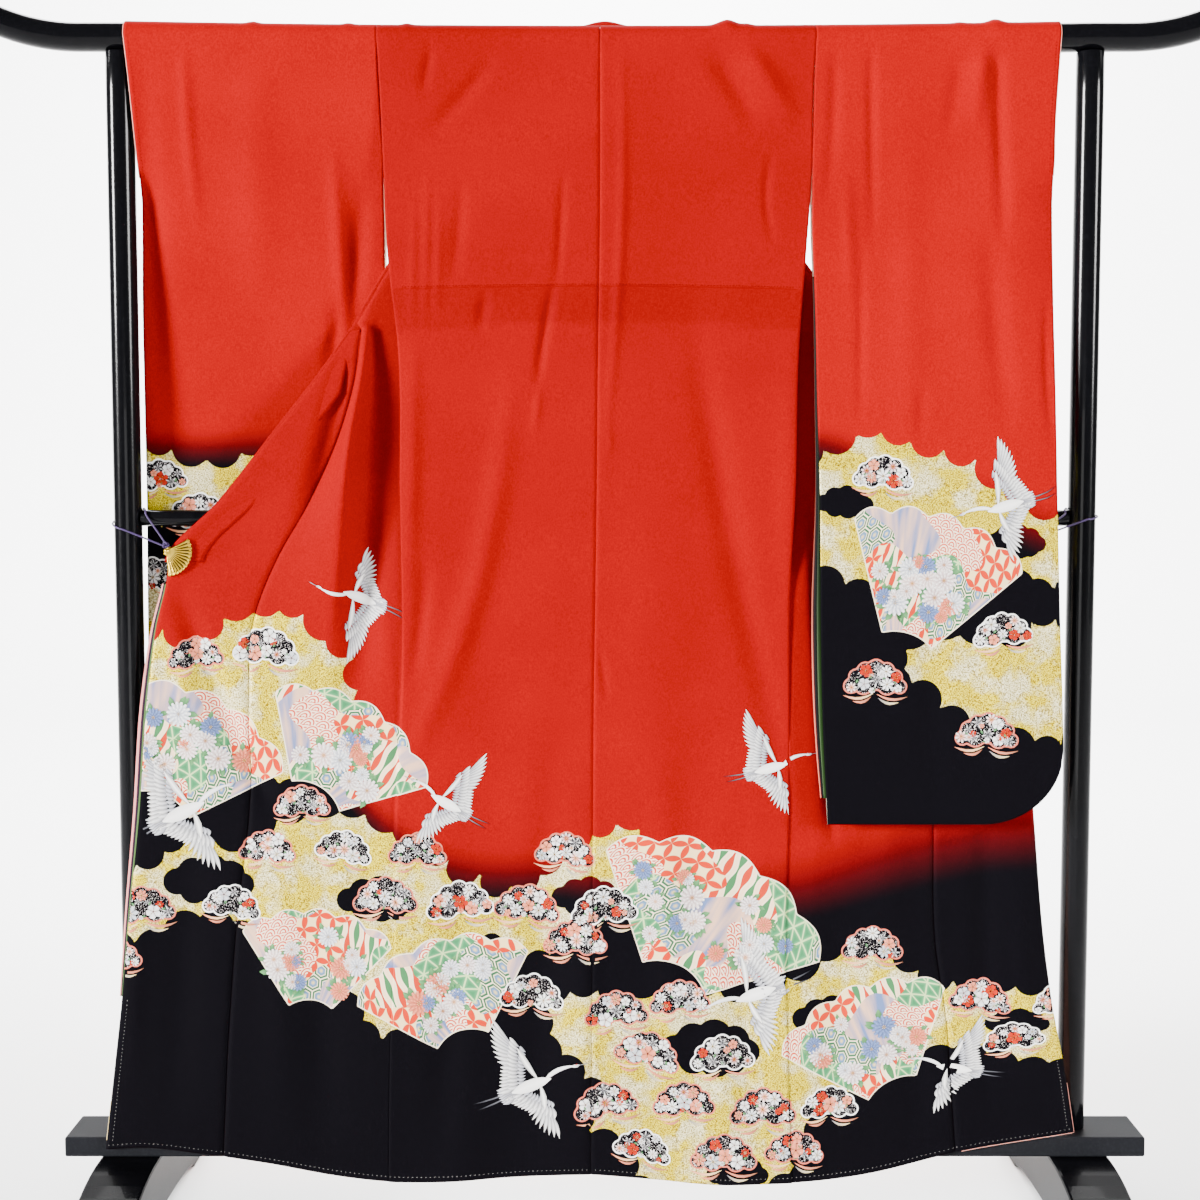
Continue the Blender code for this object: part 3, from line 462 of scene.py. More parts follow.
def creases(u, v, lines):
    """How far the cloth is pushed back by its folds: across each line a bell of the given width,
    along it a half wave that is 0 at both ends, and the line itself bowed by another half wave."""
    push = np.zeros_like(u)
    for u0, v0, u1, v1, width, depth, bow in lines:
        run = math.hypot(u1 - u0, v1 - v0)
        along = ((u - u0) * (u1 - u0) + (v - v0) * (v1 - v0)) / run ** 2
        wave = np.sin(math.pi * clamp(along))
        aside = ((u - u0) * (v1 - v0) - (v - v0) * (u1 - u0)) / run - bow * wave
        push += depth * wave * bell(aside / width)
    return push


class Panel:
    """A piece of cloth as a grid: its points in space and its places (u, v), in columns that run
    towards +X and are evenly spaced in u. A grid of another order brings its own find, which
    gives the row and column of a place."""

    def __init__(self, points, u, v, find=None):
        if find is None and u[0, 0] > u[0, -1]:
            points, u, v = points[:, ::-1], u[:, ::-1], v[:, ::-1]
        self.points, self.u, self.v = points, u, v
        side_to_side, bottom_to_top = np.gradient(points, axis=1), np.gradient(points, axis=0)
        self.normals = unit(np.cross(side_to_side, bottom_to_top))
        self.find = find or self.find_level

    def find_level(self, u, v):
        row = np.interp(v, self.v[:, 0], np.arange(len(self.v)))
        first = np.interp(row, np.arange(len(self.u)), self.u[:, 0])
        last = np.interp(row, np.arange(len(self.u)), self.u[:, -1])
        return row, (u - first) / (last - first) * (self.u.shape[1] - 1)

    def lay(self, u, v, lift):
        """Points on the cloth at the given places, lifted off it, and whether they are on it."""
        row, column = self.find(u, v)
        rows, columns = self.u.shape
        inside = (column >= 0) & (column <= columns - 1) & (v > self.v.min()) & (v < self.v.max())
        row, column = np.clip(row, 0.0, rows - 1.001), np.clip(column, 0.05, columns - 1.05)
        i, j = row.astype(int), column.astype(int)
        a, b = (row - i)[:, None], (column - j)[:, None]
        spread = [grid[i, j] * (1 - a) * (1 - b) + grid[i, j + 1] * (1 - a) * b
                  + grid[i + 1, j] * a * (1 - b) + grid[i + 1, j + 1] * a * b
                  for grid in (self.points, self.normals)]
        return spread[0] + spread[1] * (lift[:, None] + WALL / 2), inside


def tuck_band(u, v):
    """1 where the tuck doubles the cloth, from its seam down by 48 to 62 mm, and 0 elsewhere."""
    foot = TUCK_LEVEL - 0.048 - 0.014 * (u / 0.29) ** 2
    return clamp((v - foot) / 0.003) * (v < TUCK_LEVEL)


def back_panel(side):
    """One back panel: level rows from the hem to the bar, each from the side seam to the centre
    seam, then a quarter turn over the bar. The edge at the centre seam rolls back 1.8 mm."""
    tuck_rows = TUCK_LEVEL + np.array([-0.003, -0.0015, -0.0008, 0.0, 0.0008, 0.0015, 0.003])
    heights = np.concatenate([
        np.arange(HEM_LEVEL, FINE_TOP, FINE_STEP), np.arange(FINE_TOP, TUCK_LEVEL - 0.005, COARSE_STEP),
        tuck_rows, np.arange(TUCK_LEVEL + 0.008, 1.672, COARSE_STEP)])[:, None]
    across = np.linspace(0.0, 1.0, 104)[None, :]
    seam = BODY.at(SIDES[side], heights) * side
    middle = BODY.at("centre", heights) + side * SEAM / 2
    u = seam + (middle - seam) * across
    v = heights + 0 * u
    from_middle = np.abs(u - middle)
    from_side = np.abs(u - seam)
    push = creases(u, v, BACK_CREASES)
    push += CENTRE_ROLL * np.exp(-from_middle / 0.0018)
    push += SIDE_ROLL * np.exp(-from_side / 0.0025) * (v < CHEST_FOOT)
    push += TUCK_GROOVE * np.exp(-(((v - TUCK_LEVEL) / 0.0012) ** 2)) * clamp((from_side - 0.008) / 0.01)
    push -= TUCK_PROUD * tuck_band(u, v)
    hang = clamp(1.0 - v / SIDE_SEAM_TOP)
    ripple = RIPPLE * hang * np.sin(math.pi * across) * np.cos(math.tau * (1.5 * across + 0.4 * v))
    y = BODY.at("depth", heights) + ripple + push * clamp((1.68 - v) / BAR_FADE)
    tuck_line = 0.0045 * np.cos(math.pi * (u + 0.02) / 0.58) * np.exp(-(((v - TUCK_LEVEL) / 0.05) ** 2))
    points = np.stack([u, y, hem_lift(u, v) + tuck_line], axis=-1)
    top_u = u[-1] + (BODY.at(SIDES[side], BAR_HEIGHT) * side - u[-1, 0]) * (1 - across[0])
    angles = np.linspace(-math.pi / 2, -SEAM / 2 / CREST, CREST_ROWS)
    crest = np.stack([over_bar(top_u, angle) for angle in angles])
    crest_v = BAR_HEIGHT + CREST * (angles[:, None] + math.pi / 2) + 0 * top_u
    points = np.concatenate([points, crest])
    u, v = np.concatenate([u, np.repeat(top_u[None], CREST_ROWS, axis=0)]), np.concatenate([v, crest_v])
    return Panel(points, u, v)


# The dyed and gilded design: a red ground that shades to black below, bands of gold leaf with
# scalloped edges, folding fans filled with traditional repeats, and clusters of blossoms.
# Its layout is this object's own.
def outline_distance(u, v, outline):
    """Signed distance to a closed outline: the least distance to its edges, negative inside,
    where a level line to one side crosses the edges an odd number of times."""
    start = np.array(outline)
    edge = np.roll(start, -1, axis=0) - start
    gap = np.full(u.shape, 9.0)
    inside = np.zeros(u.shape, bool)
    for (a, b), (run, rise) in zip(start, edge):
        t = clamp(((u - a) * run + (v - b) * rise) / (run ** 2 + rise ** 2))
        gap = np.minimum(gap, np.hypot(u - a - t * run, v - b - t * rise))
        if rise:
            inside ^= ((b > v) != (b + rise > v)) & (u < a + (v - b) * run / rise)
    return np.where(inside, -gap, gap)


def scallops(outline, spacing, radius, seed):
    """Discs along an outline at about the spacing, each a little out of line and of uneven size:
    where they bite into a cloud band they leave its pointed edge."""
    closed = np.concatenate([outline, outline[:1]])
    count = round(length_of(closed) / spacing)
    random = np.random.default_rng(seed)
    spots = even_steps(closed, count + 1)[:-1]
    spots = spots + random.normal(0.0, 0.0035, spots.shape)
    return np.column_stack([spots, radius * random.uniform(0.84, 1.20, count)])


def disc_distance(u, v, discs):
    """Signed distance to a union of discs: the least of distance to the middle less radius."""
    gap = np.full(u.shape, 9.0)
    for x, y, radius in discs:
        gap = np.minimum(gap, np.hypot(u - x, v - y) - radius)
    return gap


# A blossom cluster is a low dome of lobes over a nearly flat foot, and a dark cloud a long one of
# larger lobes, both in halves of their width
CLUSTER_LOBES = [  # across, up, radius
    (-0.76, -0.12, 0.25), (-0.60, 0.18, 0.25), (-0.31, 0.38, 0.27), (0.03, 0.46, 0.28), (0.36, 0.37, 0.27),
    (0.63, 0.16, 0.25), (0.78, -0.14, 0.24), (-0.36, -0.10, 0.31), (0.02, 0.06, 0.34), (0.38, -0.11, 0.31),
]
CLOUD_LOBES = [
    (-0.72, 0.00, 0.30), (-0.36, 0.20, 0.34), (0.08, 0.26, 0.36), (0.48, 0.14, 0.34), (0.76, -0.06, 0.26),
    (-0.34, -0.18, 0.32), (0.12, -0.20, 0.36), (0.48, -0.22, 0.28),
]
RIM_WIDTH, EDGE_BLUR = 0.0022, 0.0003
SPOT_ACROSS, SPOT_UP, SPOT_SCATTER = 0.108, 0.072, 0.007


class Design:
    """One layout: gold bands, black openings in them, fans, the line where red turns to black,
    and clusters scattered over a slanting lattice and kept where gold is near."""

    def __init__(self, bands, openings, fans, birds, shade, area, seed):
        self.bands = [np.array(band) for band in bands]
        self.bites = [scallops(band, 0.0465, 0.0262, seed + k) for k, band in enumerate(self.bands)]
        self.openings = np.array([
            (x + size * across, y + size * up, size * reach)
            for x, y, size in openings for across, up, reach in CLOUD_LOBES])
        self.fans, self.birds = fans, birds
        self.shade = Table("u height soft", shade)
        random = np.random.default_rng(seed)
        low_u, high_u, low_v, high_v = area
        columns, rows = np.meshgrid(np.arange(low_u, high_u, SPOT_ACROSS), np.arange(low_v, high_v, SPOT_UP))
        columns = columns + SPOT_ACROSS / 2 * (np.arange(len(rows))[:, None] % 2)
        spots = np.column_stack([columns.ravel(), rows.ravel()])
        spots = spots + random.normal(0.0, SPOT_SCATTER, spots.shape)
        near_gold = self.gold(spots[:, 0], spots[:, 1]) < 0.020
        off_fans = self.fan(spots[:, 0], spots[:, 1])[0] > 0.024
        off_birds = np.ones(len(spots), bool)
        for x, y, size, *_ in birds:
            off_birds &= np.hypot(spots[:, 0] - x, spots[:, 1] - y) > 0.42 * size + 0.030
        kept = spots[near_gold & off_fans & off_birds & (random.random(len(spots)) < 0.93)]
        self.clusters = np.column_stack([
            kept, random.uniform(0.0400, 0.0480, len(kept)), random.normal(0.0, 0.10, len(kept)),
            random.random(len(kept))])

    def gold(self, u, v):
        """Negative inside the gold: inside a band, outside its bites and outside the openings."""
        gap = np.full(u.shape, 9.0)
        for band, bites in zip(self.bands, self.bites):
            gap = np.minimum(gap, np.maximum(outline_distance(u, v, band), -disc_distance(u, v, bites)))
        return np.maximum(gap, -disc_distance(u, v, self.openings))

    def fan(self, u, v):
        """Signed distance to the nearest fan, with the place in it: the turn from its middle
        rib, as a share of its opening, the distance from its pivot, and its number."""
        gap, place = np.full(u.shape, 9.0), np.zeros(u.shape + (3,))
        for number, (x, y, inner, outer, aim, opening) in enumerate(self.fans):
            turn = np.arctan2(v - y, u - x) - math.radians(aim)
            turn = (turn + math.pi) % math.tau - math.pi
            reach = np.hypot(u - x, v - y)
            half = math.radians(opening)
            edge = outer * (1.0 + 0.05 * np.abs(np.sin(5.0 * math.pi * (turn / half + 1.0) / 2)))
            own = np.maximum(np.maximum(reach - edge, inner - reach), (np.abs(turn) - half) * reach)
            nearer = own < gap
            gap = np.where(nearer, own, gap)
            place[nearer] = np.stack([turn / half, reach, np.full(u.shape, number)], axis=-1)[nearer]
        return gap, place

    def cluster(self, u, v):
        """Signed distance to the nearest blossom cluster, and that cluster's own random share."""
        gap, tone = np.full(u.shape, 9.0), np.zeros(u.shape)
        for x, y, size, lean, share in self.clusters:
            near = np.hypot(u - x, v - y) < 1.6 * size
            if not near.any():
                continue
            right, up = u[near] - x, v[near] - y
            cosine, sine = math.cos(lean), math.sin(lean)
            own = disc_distance(right * cosine + up * sine, up * cosine - right * sine,
                                np.array(CLUSTER_LOBES) * size)
            closer = own < gap[near]
            gap[near] = np.where(closer, own, gap[near])
            tone[near] = np.where(closer, share, tone[near])
        return gap, tone

    def dye(self, u, v):
        """Everything that the silk's material reads, for each point of a grid."""
        soft = self.shade.at("soft", u)
        dark = clamp((self.shade.at("height", u) + soft - v) / (2 * soft))
        fan, place = self.fan(u, v)
        cluster, tone = self.cluster(u, v)
        return {"dark": dark * dark * (3 - 2 * dark), "gold": self.gold(u, v), "fan": fan,
                "fan_place": place, "cluster": cluster, "tone": tone}


BODY_DESIGN = Design(
    bands=[
        [(-0.735, 0.835), (-0.665, 0.868), (-0.590, 0.855), (-0.525, 0.905), (-0.450, 0.905),
         (-0.385, 0.865), (-0.345, 0.800), (-0.320, 0.730), (-0.300, 0.655), (-0.345, 0.625),
         (-0.410, 0.650), (-0.470, 0.615), (-0.540, 0.660), (-0.600, 0.635), (-0.665, 0.665),
         (-0.735, 0.645)],
        [(-0.740, 0.505), (-0.665, 0.540), (-0.600, 0.580), (-0.520, 0.570), (-0.450, 0.605),
         (-0.380, 0.625), (-0.310, 0.600), (-0.250, 0.560), (-0.190, 0.515), (-0.130, 0.500),
         (-0.085, 0.545), (-0.030, 0.585), (0.035, 0.600), (0.085, 0.570), (0.135, 0.530),
         (0.100, 0.465), (0.030, 0.440), (-0.040, 0.425), (-0.100, 0.375), (-0.160, 0.325),
         (-0.225, 0.290), (-0.290, 0.265), (-0.350, 0.290), (-0.400, 0.345), (-0.460, 0.355),
         (-0.505, 0.410), (-0.565, 0.435), (-0.625, 0.420), (-0.680, 0.400), (-0.740, 0.420)],
        [(-0.125, 0.340), (-0.050, 0.365), (0.020, 0.350), (0.095, 0.380), (0.170, 0.350),
         (0.240, 0.370), (0.300, 0.410), (0.370, 0.430), (0.430, 0.395), (0.490, 0.355),
         (0.560, 0.375), (0.625, 0.355), (0.710, 0.330), (0.710, 0.215), (0.640, 0.185),
         (0.570, 0.210), (0.500, 0.235), (0.430, 0.215), (0.380, 0.175), (0.315, 0.150),
         (0.275, 0.100), (0.225, 0.030), (0.060, 0.030), (0.020, 0.105), (-0.035, 0.145),
         (-0.020, 0.210), (-0.085, 0.250)],
    ],
    openings=[
        (-0.565, 0.500, 0.064), (-0.325, 0.475, 0.056), (-0.025, 0.480, 0.050), (0.150, 0.262, 0.070),
        (0.320, 0.305, 0.052), (0.590, 0.290, 0.046), (-0.165, 0.400, 0.046), (-0.660, 0.720, 0.040),
        (0.190, 0.085, 0.044),
    ],
    fans=[
        (-0.655, 0.560, 0.070, 0.220, 66.0, 40.0), (-0.435, 0.585, 0.060, 0.190, 58.0, 42.0),
        (0.075, 0.320, 0.070, 0.240, 62.0, 46.0), (-0.190, 0.235, 0.055, 0.185, 108.0, 44.0),
        (-0.425, 0.280, 0.050, 0.175, 84.0, 38.0), (0.430, 0.150, 0.060, 0.205, 112.0, 38.0),
    ],
    birds=[
        (-0.345, 0.905, 0.125, 158.0, 1), (-0.600, 0.600, 0.165, 25.0, 1), (-0.225, 0.615, 0.120, 150.0, -1),
        (0.235, 0.665, 0.120, 14.0, 1), (0.215, 0.340, 0.150, 200.0, -1), (-0.105, 0.205, 0.150, 20.0, 1),
        (0.500, 0.215, 0.130, 165.0, -1),
    ],
    shade=[
        (-0.740, 0.790, 0.030), (-0.550, 0.760, 0.030), (-0.420, 0.700, 0.030), (-0.330, 0.600, 0.035),
        (-0.250, 0.540, 0.040), (-0.050, 0.515, 0.040), (0.120, 0.505, 0.045), (0.280, 0.500, 0.055),
        (0.420, 0.545, 0.065), (0.560, 0.575, 0.065), (0.700, 0.580, 0.065),
    ],
    area=(-0.70, 0.70, 0.11, 0.90), seed=11)


def repeats(recipe, place):
    """The six repeats that fill the fans, in cells of about 21 mm, from the fan's own
    coordinates: across is the turn times the reach, up is the reach. Returns their colours."""
    times, plus, minus = recipe.times, recipe.plus, recipe.minus
    turn, reach, number = recipe.node("ShaderNodeSeparateXYZ", 0, Vector=place).node.outputs
    across = times(times(turn, reach), 33.0)
    up = times(reach, 46.0)

    def size(value):
        return recipe.sum('ABSOLUTE', value)

    def sine(value, rate, height):
        return times(recipe.sum('SINE', times(value, rate)), height)

    def whole(value):
        return recipe.sum('FLOOR', value)

    def apart(x, y):
        return recipe.sum('SQRT', plus(times(x, x), times(y, y)))

    def centred(value):
        """The value's place in its cell, from -0.5 to 0.5."""
        return minus(recipe.sum('FRACT', value), 0.5)

    # Interlocking circles: a petal shows where a second circle, of the next cell, covers
    folded_x, folded_y = (size(centred(value)) for value in (across, up))
    petal = recipe.sum('MINIMUM', apart(minus(1.0, folded_x), folded_y),
                       apart(folded_x, minus(1.0, folded_y)))
    circles = recipe.mix(recipe.span(petal, 0.69, 0.73), (0.50, 0.030, 0.010), (0.84, 0.60, 0.30))

    # Waves: rows of arcs, each row half a cell along and covering the one behind
    row = whole(times(up, 2.0))
    shifted = plus(across, times(row, 0.5))
    rise = times(recipe.sum('FRACT', times(up, 2.0)), 0.5)
    near = apart(centred(shifted), rise)
    behind = apart(centred(plus(shifted, 0.5)), plus(rise, 0.5))
    own = recipe.sum('LESS_THAN', near, 0.5)
    arc = plus(times(near, own), times(behind, minus(1.0, own)))
    ring = size(centred(times(arc, 5.0)))
    waves = recipe.mix(recipe.span(ring, 0.22, 0.32), (0.86, 0.70, 0.52), (0.52, 0.045, 0.018))

    # Tortoiseshell: of the two nearest cell centres of a six-sided lattice the closer one counts
    tall = 1.732
    first_x, first_y = centred(across), minus(recipe.sum('WRAP', up, tall, 0.0), tall / 2)
    second_x = centred(plus(across, 0.5))
    second_y = minus(recipe.sum('WRAP', plus(up, tall / 2), tall, 0.0), tall / 2)

    def hexagon(x, y):
        x, y = size(x), size(y)
        return recipe.sum('MAXIMUM', x, plus(times(x, 0.5), times(y, 0.866)))

    shell = recipe.sum('MINIMUM', hexagon(first_x, first_y), hexagon(second_x, second_y))
    cream, leaf_green = (0.82, 0.72, 0.50), (0.025, 0.10, 0.045)
    shells = recipe.ramp(shell, (0.0, (0.78, 0.56, 0.16)), (0.16, (0.12, 0.20, 0.34)),
                         (0.26, (0.07, 0.16, 0.24)), (0.31, cream), (0.36, leaf_green), (0.45, leaf_green),
                         (0.47, cream))

    # Hemp leaf: three families of parallel lines, and the lines half way between them
    def lines(angle):
        along = plus(times(across, math.cos(angle)), times(up, math.sin(angle)))
        return size(centred(times(along, 1.155)))

    leaf = recipe.sum('MAXIMUM', lines(math.pi / 2),
                      recipe.sum('MAXIMUM', lines(math.pi / 6), lines(-math.pi / 6)))
    leaves = recipe.ramp(leaf, (0.0, (0.022, 0.13, 0.050)), (0.30, (0.045, 0.20, 0.080)),
                         (0.43, (0.09, 0.27, 0.12)), (0.47, (0.46, 0.60, 0.26)))

    # Rising steam: upright bands that swell and narrow by a sine, each out of step with the next
    odd = recipe.sum('WRAP', whole(times(across, 1.6)), 2.0, 0.0)
    swell = recipe.sum('SINE', plus(times(up, math.pi), times(odd, math.pi)))
    wide = plus(times(swell, 0.14), 0.28)
    beside = minus(size(centred(times(across, 1.6))), wide)
    banded = recipe.mix(odd, (0.46, 0.035, 0.014), (0.045, 0.16, 0.06))
    steam = recipe.mix(recipe.span(size(beside), 0.04, 0.07), (0.86, 0.72, 0.48),
                       recipe.mix(recipe.sum('GREATER_THAN', beside, 0.0), banded, (0.86, 0.62, 0.38)))

    # A plain sky or water ground, shaded from rib to rib
    sky = recipe.mix(recipe.span(recipe.noise(place, 9.0), 0.35, 0.65),
                     (0.11, 0.16, 0.32), (0.66, 0.40, 0.27))

    # A fan is parted along its ribs by wavy lines, and once more across them
    bend = sine(reach, 70.0, 0.16)
    part = whole(times(plus(plus(turn, bend), 1.0), 1.75))
    sway = sine(turn, 7.0, 0.14)
    ring = whole(plus(times(reach, 11.0), sway))
    step = plus(part, plus(times(ring, 3.0), times(number, 2.0)))
    kind = recipe.sum('WRAP', plus(step, 0.5), 6.0, 0.0)
    colour = circles
    for step, repeat in enumerate([waves, sky, shells, leaves, steam], start=1):
        colour = recipe.mix(recipe.sum('GREATER_THAN', kind, float(step)), colour, repeat)
    return colour


def silk(name, light):
    """Dyed silk crepe: the red and black ground, gold leaf, fans and clusters over each other in
    that order, each cut at its signed distance, with the crepe's fine uneven grain. Light is
    how much brighter the red is than the back's: above 1 it is painted light, a lighter copy of
    the same silk."""
    recipe = Recipe(name)
    place = recipe.place()

    def grain(stretch, scale, detail):
        """Noise whose place is stretched by its own amount along each axis."""
        return recipe.noise(recipe.node("ShaderNodeMapping", 0, Vector=place, Scale=stretch), scale, detail)

    def within(distance):
        """1 inside an edge and 0 outside it."""
        return recipe.span(distance, EDGE_BLUR, -EDGE_BLUR)

    cloudy = recipe.noise(place, 5.0, 3.0)
    # The red ground, scaled by light: where light is above 1 the red is painted lighter, as painted light.
    red = recipe.mix(recipe.span(cloudy, 0.35, 0.65),
                     (0.215 * light, 0.0001, 0.0011), (0.245 * light, 0.0002, 0.0013))
    dark = recipe.read("dark")
    through = recipe.ramp(dark, (0.0, (0.0, 0.0, 0.0)), (0.55, (0.72, 0.72, 0.72)), (1.0, (1.0, 1.0, 1.0)))
    ground = recipe.mix(through, red, (0.0024, 0.0021, 0.0032))
    ground = recipe.mix(recipe.times(recipe.read("doubled"), 0.16), ground, (0.06, 0.0, 0.001))
    weave = grain((1.3, 1.0, 0.8), 480.0, 3.0)
    ground = recipe.mix(recipe.times(recipe.span(weave, 0.66, 0.34), 0.24), ground, (0.0, 0.0, 0.0))

    specks = recipe.noise(place, 560.0, 3.0)
    patches = recipe.noise(place, 26.0, 6.0)
    leaf = recipe.ramp(
        specks, (0.37, (0.14, 0.085, 0.0)), (0.46, (0.38, 0.27, 0.0)), (0.58, (0.70, 0.57, 0.02)))
    silvery = recipe.ramp(
        specks, (0.37, (0.16, 0.115, 0.03)), (0.46, (0.46, 0.39, 0.15)), (0.59, (0.78, 0.71, 0.44)))
    gilt = recipe.mix(recipe.span(patches, 0.47, 0.60), leaf, silvery)
    on_gold = within(recipe.read("gold"))
    colour = recipe.mix(on_gold, ground, gilt)

    fan = recipe.read("fan")
    on_fan = within(fan)
    rim = recipe.span(fan, -0.0019, -0.0013)
    inside = recipe.mix(rim, repeats(recipe, recipe.read("fan_place", "Vector")), (0.80, 0.70, 0.52))
    colour = recipe.mix(on_fan, colour, inside)

    cluster = recipe.read("cluster")
    edge = recipe.mix(recipe.sum('GREATER_THAN', recipe.read("tone"), 0.58),
                      (0.90, 0.88, 0.85), (0.55, 0.13, 0.085))
    dots = recipe.mix(recipe.span(specks, 0.595, 0.62), (0.0030, 0.0026, 0.0038), (0.55, 0.50, 0.48))
    bed = recipe.mix(recipe.span(cluster, -RIM_WIDTH - EDGE_BLUR, -RIM_WIDTH + EDGE_BLUR), dots, edge)
    on_cluster = within(cluster)
    colour = recipe.mix(on_cluster, colour, bed)

    plain = recipe.times(recipe.minus(1.0, on_fan), recipe.minus(1.0, on_cluster))
    leafed = recipe.times(on_gold, plain)
    recipe.bump(grain((1.0, 1.0, 0.45), 1500.0, 2.0), 0.30, 0.0005)
    return recipe.finish(
        Base_Color=colour, Roughness=recipe.between(leafed, 0.66, 0.44),
        Metallic=recipe.times(leafed, 0.18), Sheen_Weight=0.008, Sheen_Roughness=0.4,
        Sheen_Tint=(1.0, 0.20, 0.15), Specular_IOR_Level=0.012)


def lining(name, upper, lower):
    """Plain silk lining: pale above, tinted towards the hem."""
    recipe = Recipe(name)
    place = recipe.place()
    height = recipe.node("ShaderNodeSeparateXYZ", 2, Vector=place)
    colour = recipe.mix(recipe.span(height, 0.75, 0.30), upper, lower)
    recipe.bump(recipe.noise(place, 1800.0), 0.12, 0.0003)
    return recipe.finish(Base_Color=colour, Roughness=0.55, Sheen_Weight=0.10, Specular_IOR_Level=0.3)


SILK = silk("dyed_crepe", 1.0)
LINING = lining("silk_lining", (0.80, 0.68, 0.54), (0.78, 0.34, 0.24))


POINT_KINDS = {1: ('FLOAT', "value"), 3: ('FLOAT_VECTOR', "vector"), 4: ('FLOAT_COLOR', "color")}


def point_values(piece, name, values):
    """Writes a number, a direction or a colour for each point of a piece."""
    values = np.reshape(values, (len(piece.data.vertices), -1)).astype(np.float32)
    kind, field = POINT_KINDS[values.shape[1]]
    piece.data.attributes.new(name, kind, 'POINT').data.foreach_set(field, values.ravel())


def add_wall(piece, thickness):
    """The cloth's thickness, as a Solidify modifier, half on each side."""
    wall = piece.modifiers.new("wall", 'SOLIDIFY')
    wall.thickness, wall.offset, wall.use_even_offset = thickness, 0.0, False
    return wall


def cloth_piece(name, panel, dye, outside=SILK):
    """A panel's mesh with its dye as point values, and a wall whose inner side has the lining."""
    piece = new_piece(name + "_silk", panel.points, grid_faces(*panel.u.shape), outside, LINING)
    for key, values in dye.items():
        point_values(piece, key, values)
    wall = add_wall(piece, WALL)
    wall.material_offset, wall.material_offset_rim = 1, 0
    return settle(piece, "red_silk", name)


def cut_area(panel):
    """The cloth's area: half the cross product of each face's diagonals, added up."""
    p = panel.points
    crossed = np.cross(p[1:, 1:] - p[:-1, :-1], p[1:, :-1] - p[:-1, 1:])
    return float(np.linalg.norm(crossed, axis=-1).sum() / 2)


def declare_sheet(panel, flat, rests):
    min(cut_area(panel), flat[0] * flat[1])
    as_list(rests)


panels, cloths = {}, {}
for side, label in SIDES.items():
    name = "back_" + label
    panel = panels[name] = back_panel(side)
    dye = BODY_DESIGN.dye(panel.u, panel.v) | {"doubled": tuck_band(panel.u, panel.v)}
    cloths[name] = (cloth_piece(name, panel, dye), panel, (0.31, 1.66), ["top_bar"])

# The opened fronts: each a length that hangs from the shoulder, goes behind the back's edge, and
# is drawn out and pinned open, so that its outside faces the camera. The okumi is the narrow
# panel sewn to it that tapers up to the collar.
SEAM_INSET, VALLEY_OUT, TURN_SHARE = 0.001, 0.006, 0.3
CHEST_NECK = 0.062

FRONTS = {
    -1: Table("height tuck recess foot fold forward okumi edge depth", [
        (0.07, 0.000, 0.0022, 0.330, 0.420, 0.000, 0.5475, 0.7155, -0.0520),
        (0.30, 0.000, 0.0024, 0.330, 0.415, 0.000, 0.5370, 0.6935, -0.0440),
        (0.45, 0.000, 0.0035, 0.330, 0.410, 0.002, 0.5250, 0.6790, -0.0390),
        (0.60, 0.000, 0.0050, 0.330, 0.405, 0.004, 0.5070, 0.6630, -0.0340),
        (0.77, 0.000, 0.0080, 0.332, 0.398, 0.008, 0.5060, 0.6490, -0.0300),
        (0.86, 0.004, 0.0120, 0.336, 0.388, 0.012, 0.5020, 0.6370, -0.0255),
        (0.94, 0.012, 0.0165, 0.339, 0.376, 0.019, 0.4740, 0.6195, -0.0255),
        (0.9587, 0.015, 0.0175, 0.339, 0.374, 0.020, 0.4650, 0.6184, -0.0255),
        (1.04, 0.035, 0.0200, 0.337, 0.367, 0.023, 0.4190, 0.5440, -0.0255),
        (1.15, 0.065, 0.0220, 0.331, 0.354, 0.023, 0.3700, 0.4560, -0.0240),
        (1.21, 0.085, 0.0220, 0.326, 0.343, 0.018, 0.3530, 0.4087, -0.0200),
        (1.29, 0.100, 0.0250, 0.322, 0.335, 0.006, 0.3430, 0.3510, -0.0120),
    ]),
    1: Table("height tuck recess foot fold forward okumi edge depth", [
        (0.07, 0.000, 0.0022, 0.300, 0.375, 0.000, 0.5025, 0.6720, -0.0520),
        (0.20, 0.000, 0.0022, 0.300, 0.370, 0.000, 0.4945, 0.6575, -0.0480),
        (0.30, 0.000, 0.0024, 0.300, 0.368, 0.000, 0.4882, 0.6430, -0.0440),
        (0.41, 0.000, 0.0030, 0.300, 0.366, 0.002, 0.4720, 0.6275, -0.0400),
        (0.58, 0.000, 0.0026, 0.296, 0.362, 0.004, 0.4676, 0.6120, -0.0350),
        (0.77, 0.004, 0.0026, 0.290, 0.356, 0.007, 0.4650, 0.5980, -0.0300),
        (0.86, 0.007, 0.0030, 0.292, 0.352, 0.008, 0.4540, 0.5920, -0.0280),
        (0.94, 0.012, 0.0050, 0.294, 0.350, 0.009, 0.4400, 0.5855, -0.0255),
        (0.962, 0.015, 0.0080, 0.296, 0.348, 0.009, 0.4320, 0.5830, -0.0255),
        (1.04, 0.035, 0.0160, 0.298, 0.342, 0.007, 0.3900, 0.5260, -0.0255),
        (1.15, 0.065, 0.0190, 0.298, 0.334, 0.005, 0.3400, 0.4455, -0.0240),
        (1.21, 0.080, 0.0200, 0.298, 0.328, 0.004, 0.3300, 0.4015, -0.0200),
        (1.29, 0.095, 0.0230, 0.300, 0.321, 0.002, 0.3230, 0.3430, -0.0120),
    ]),
}
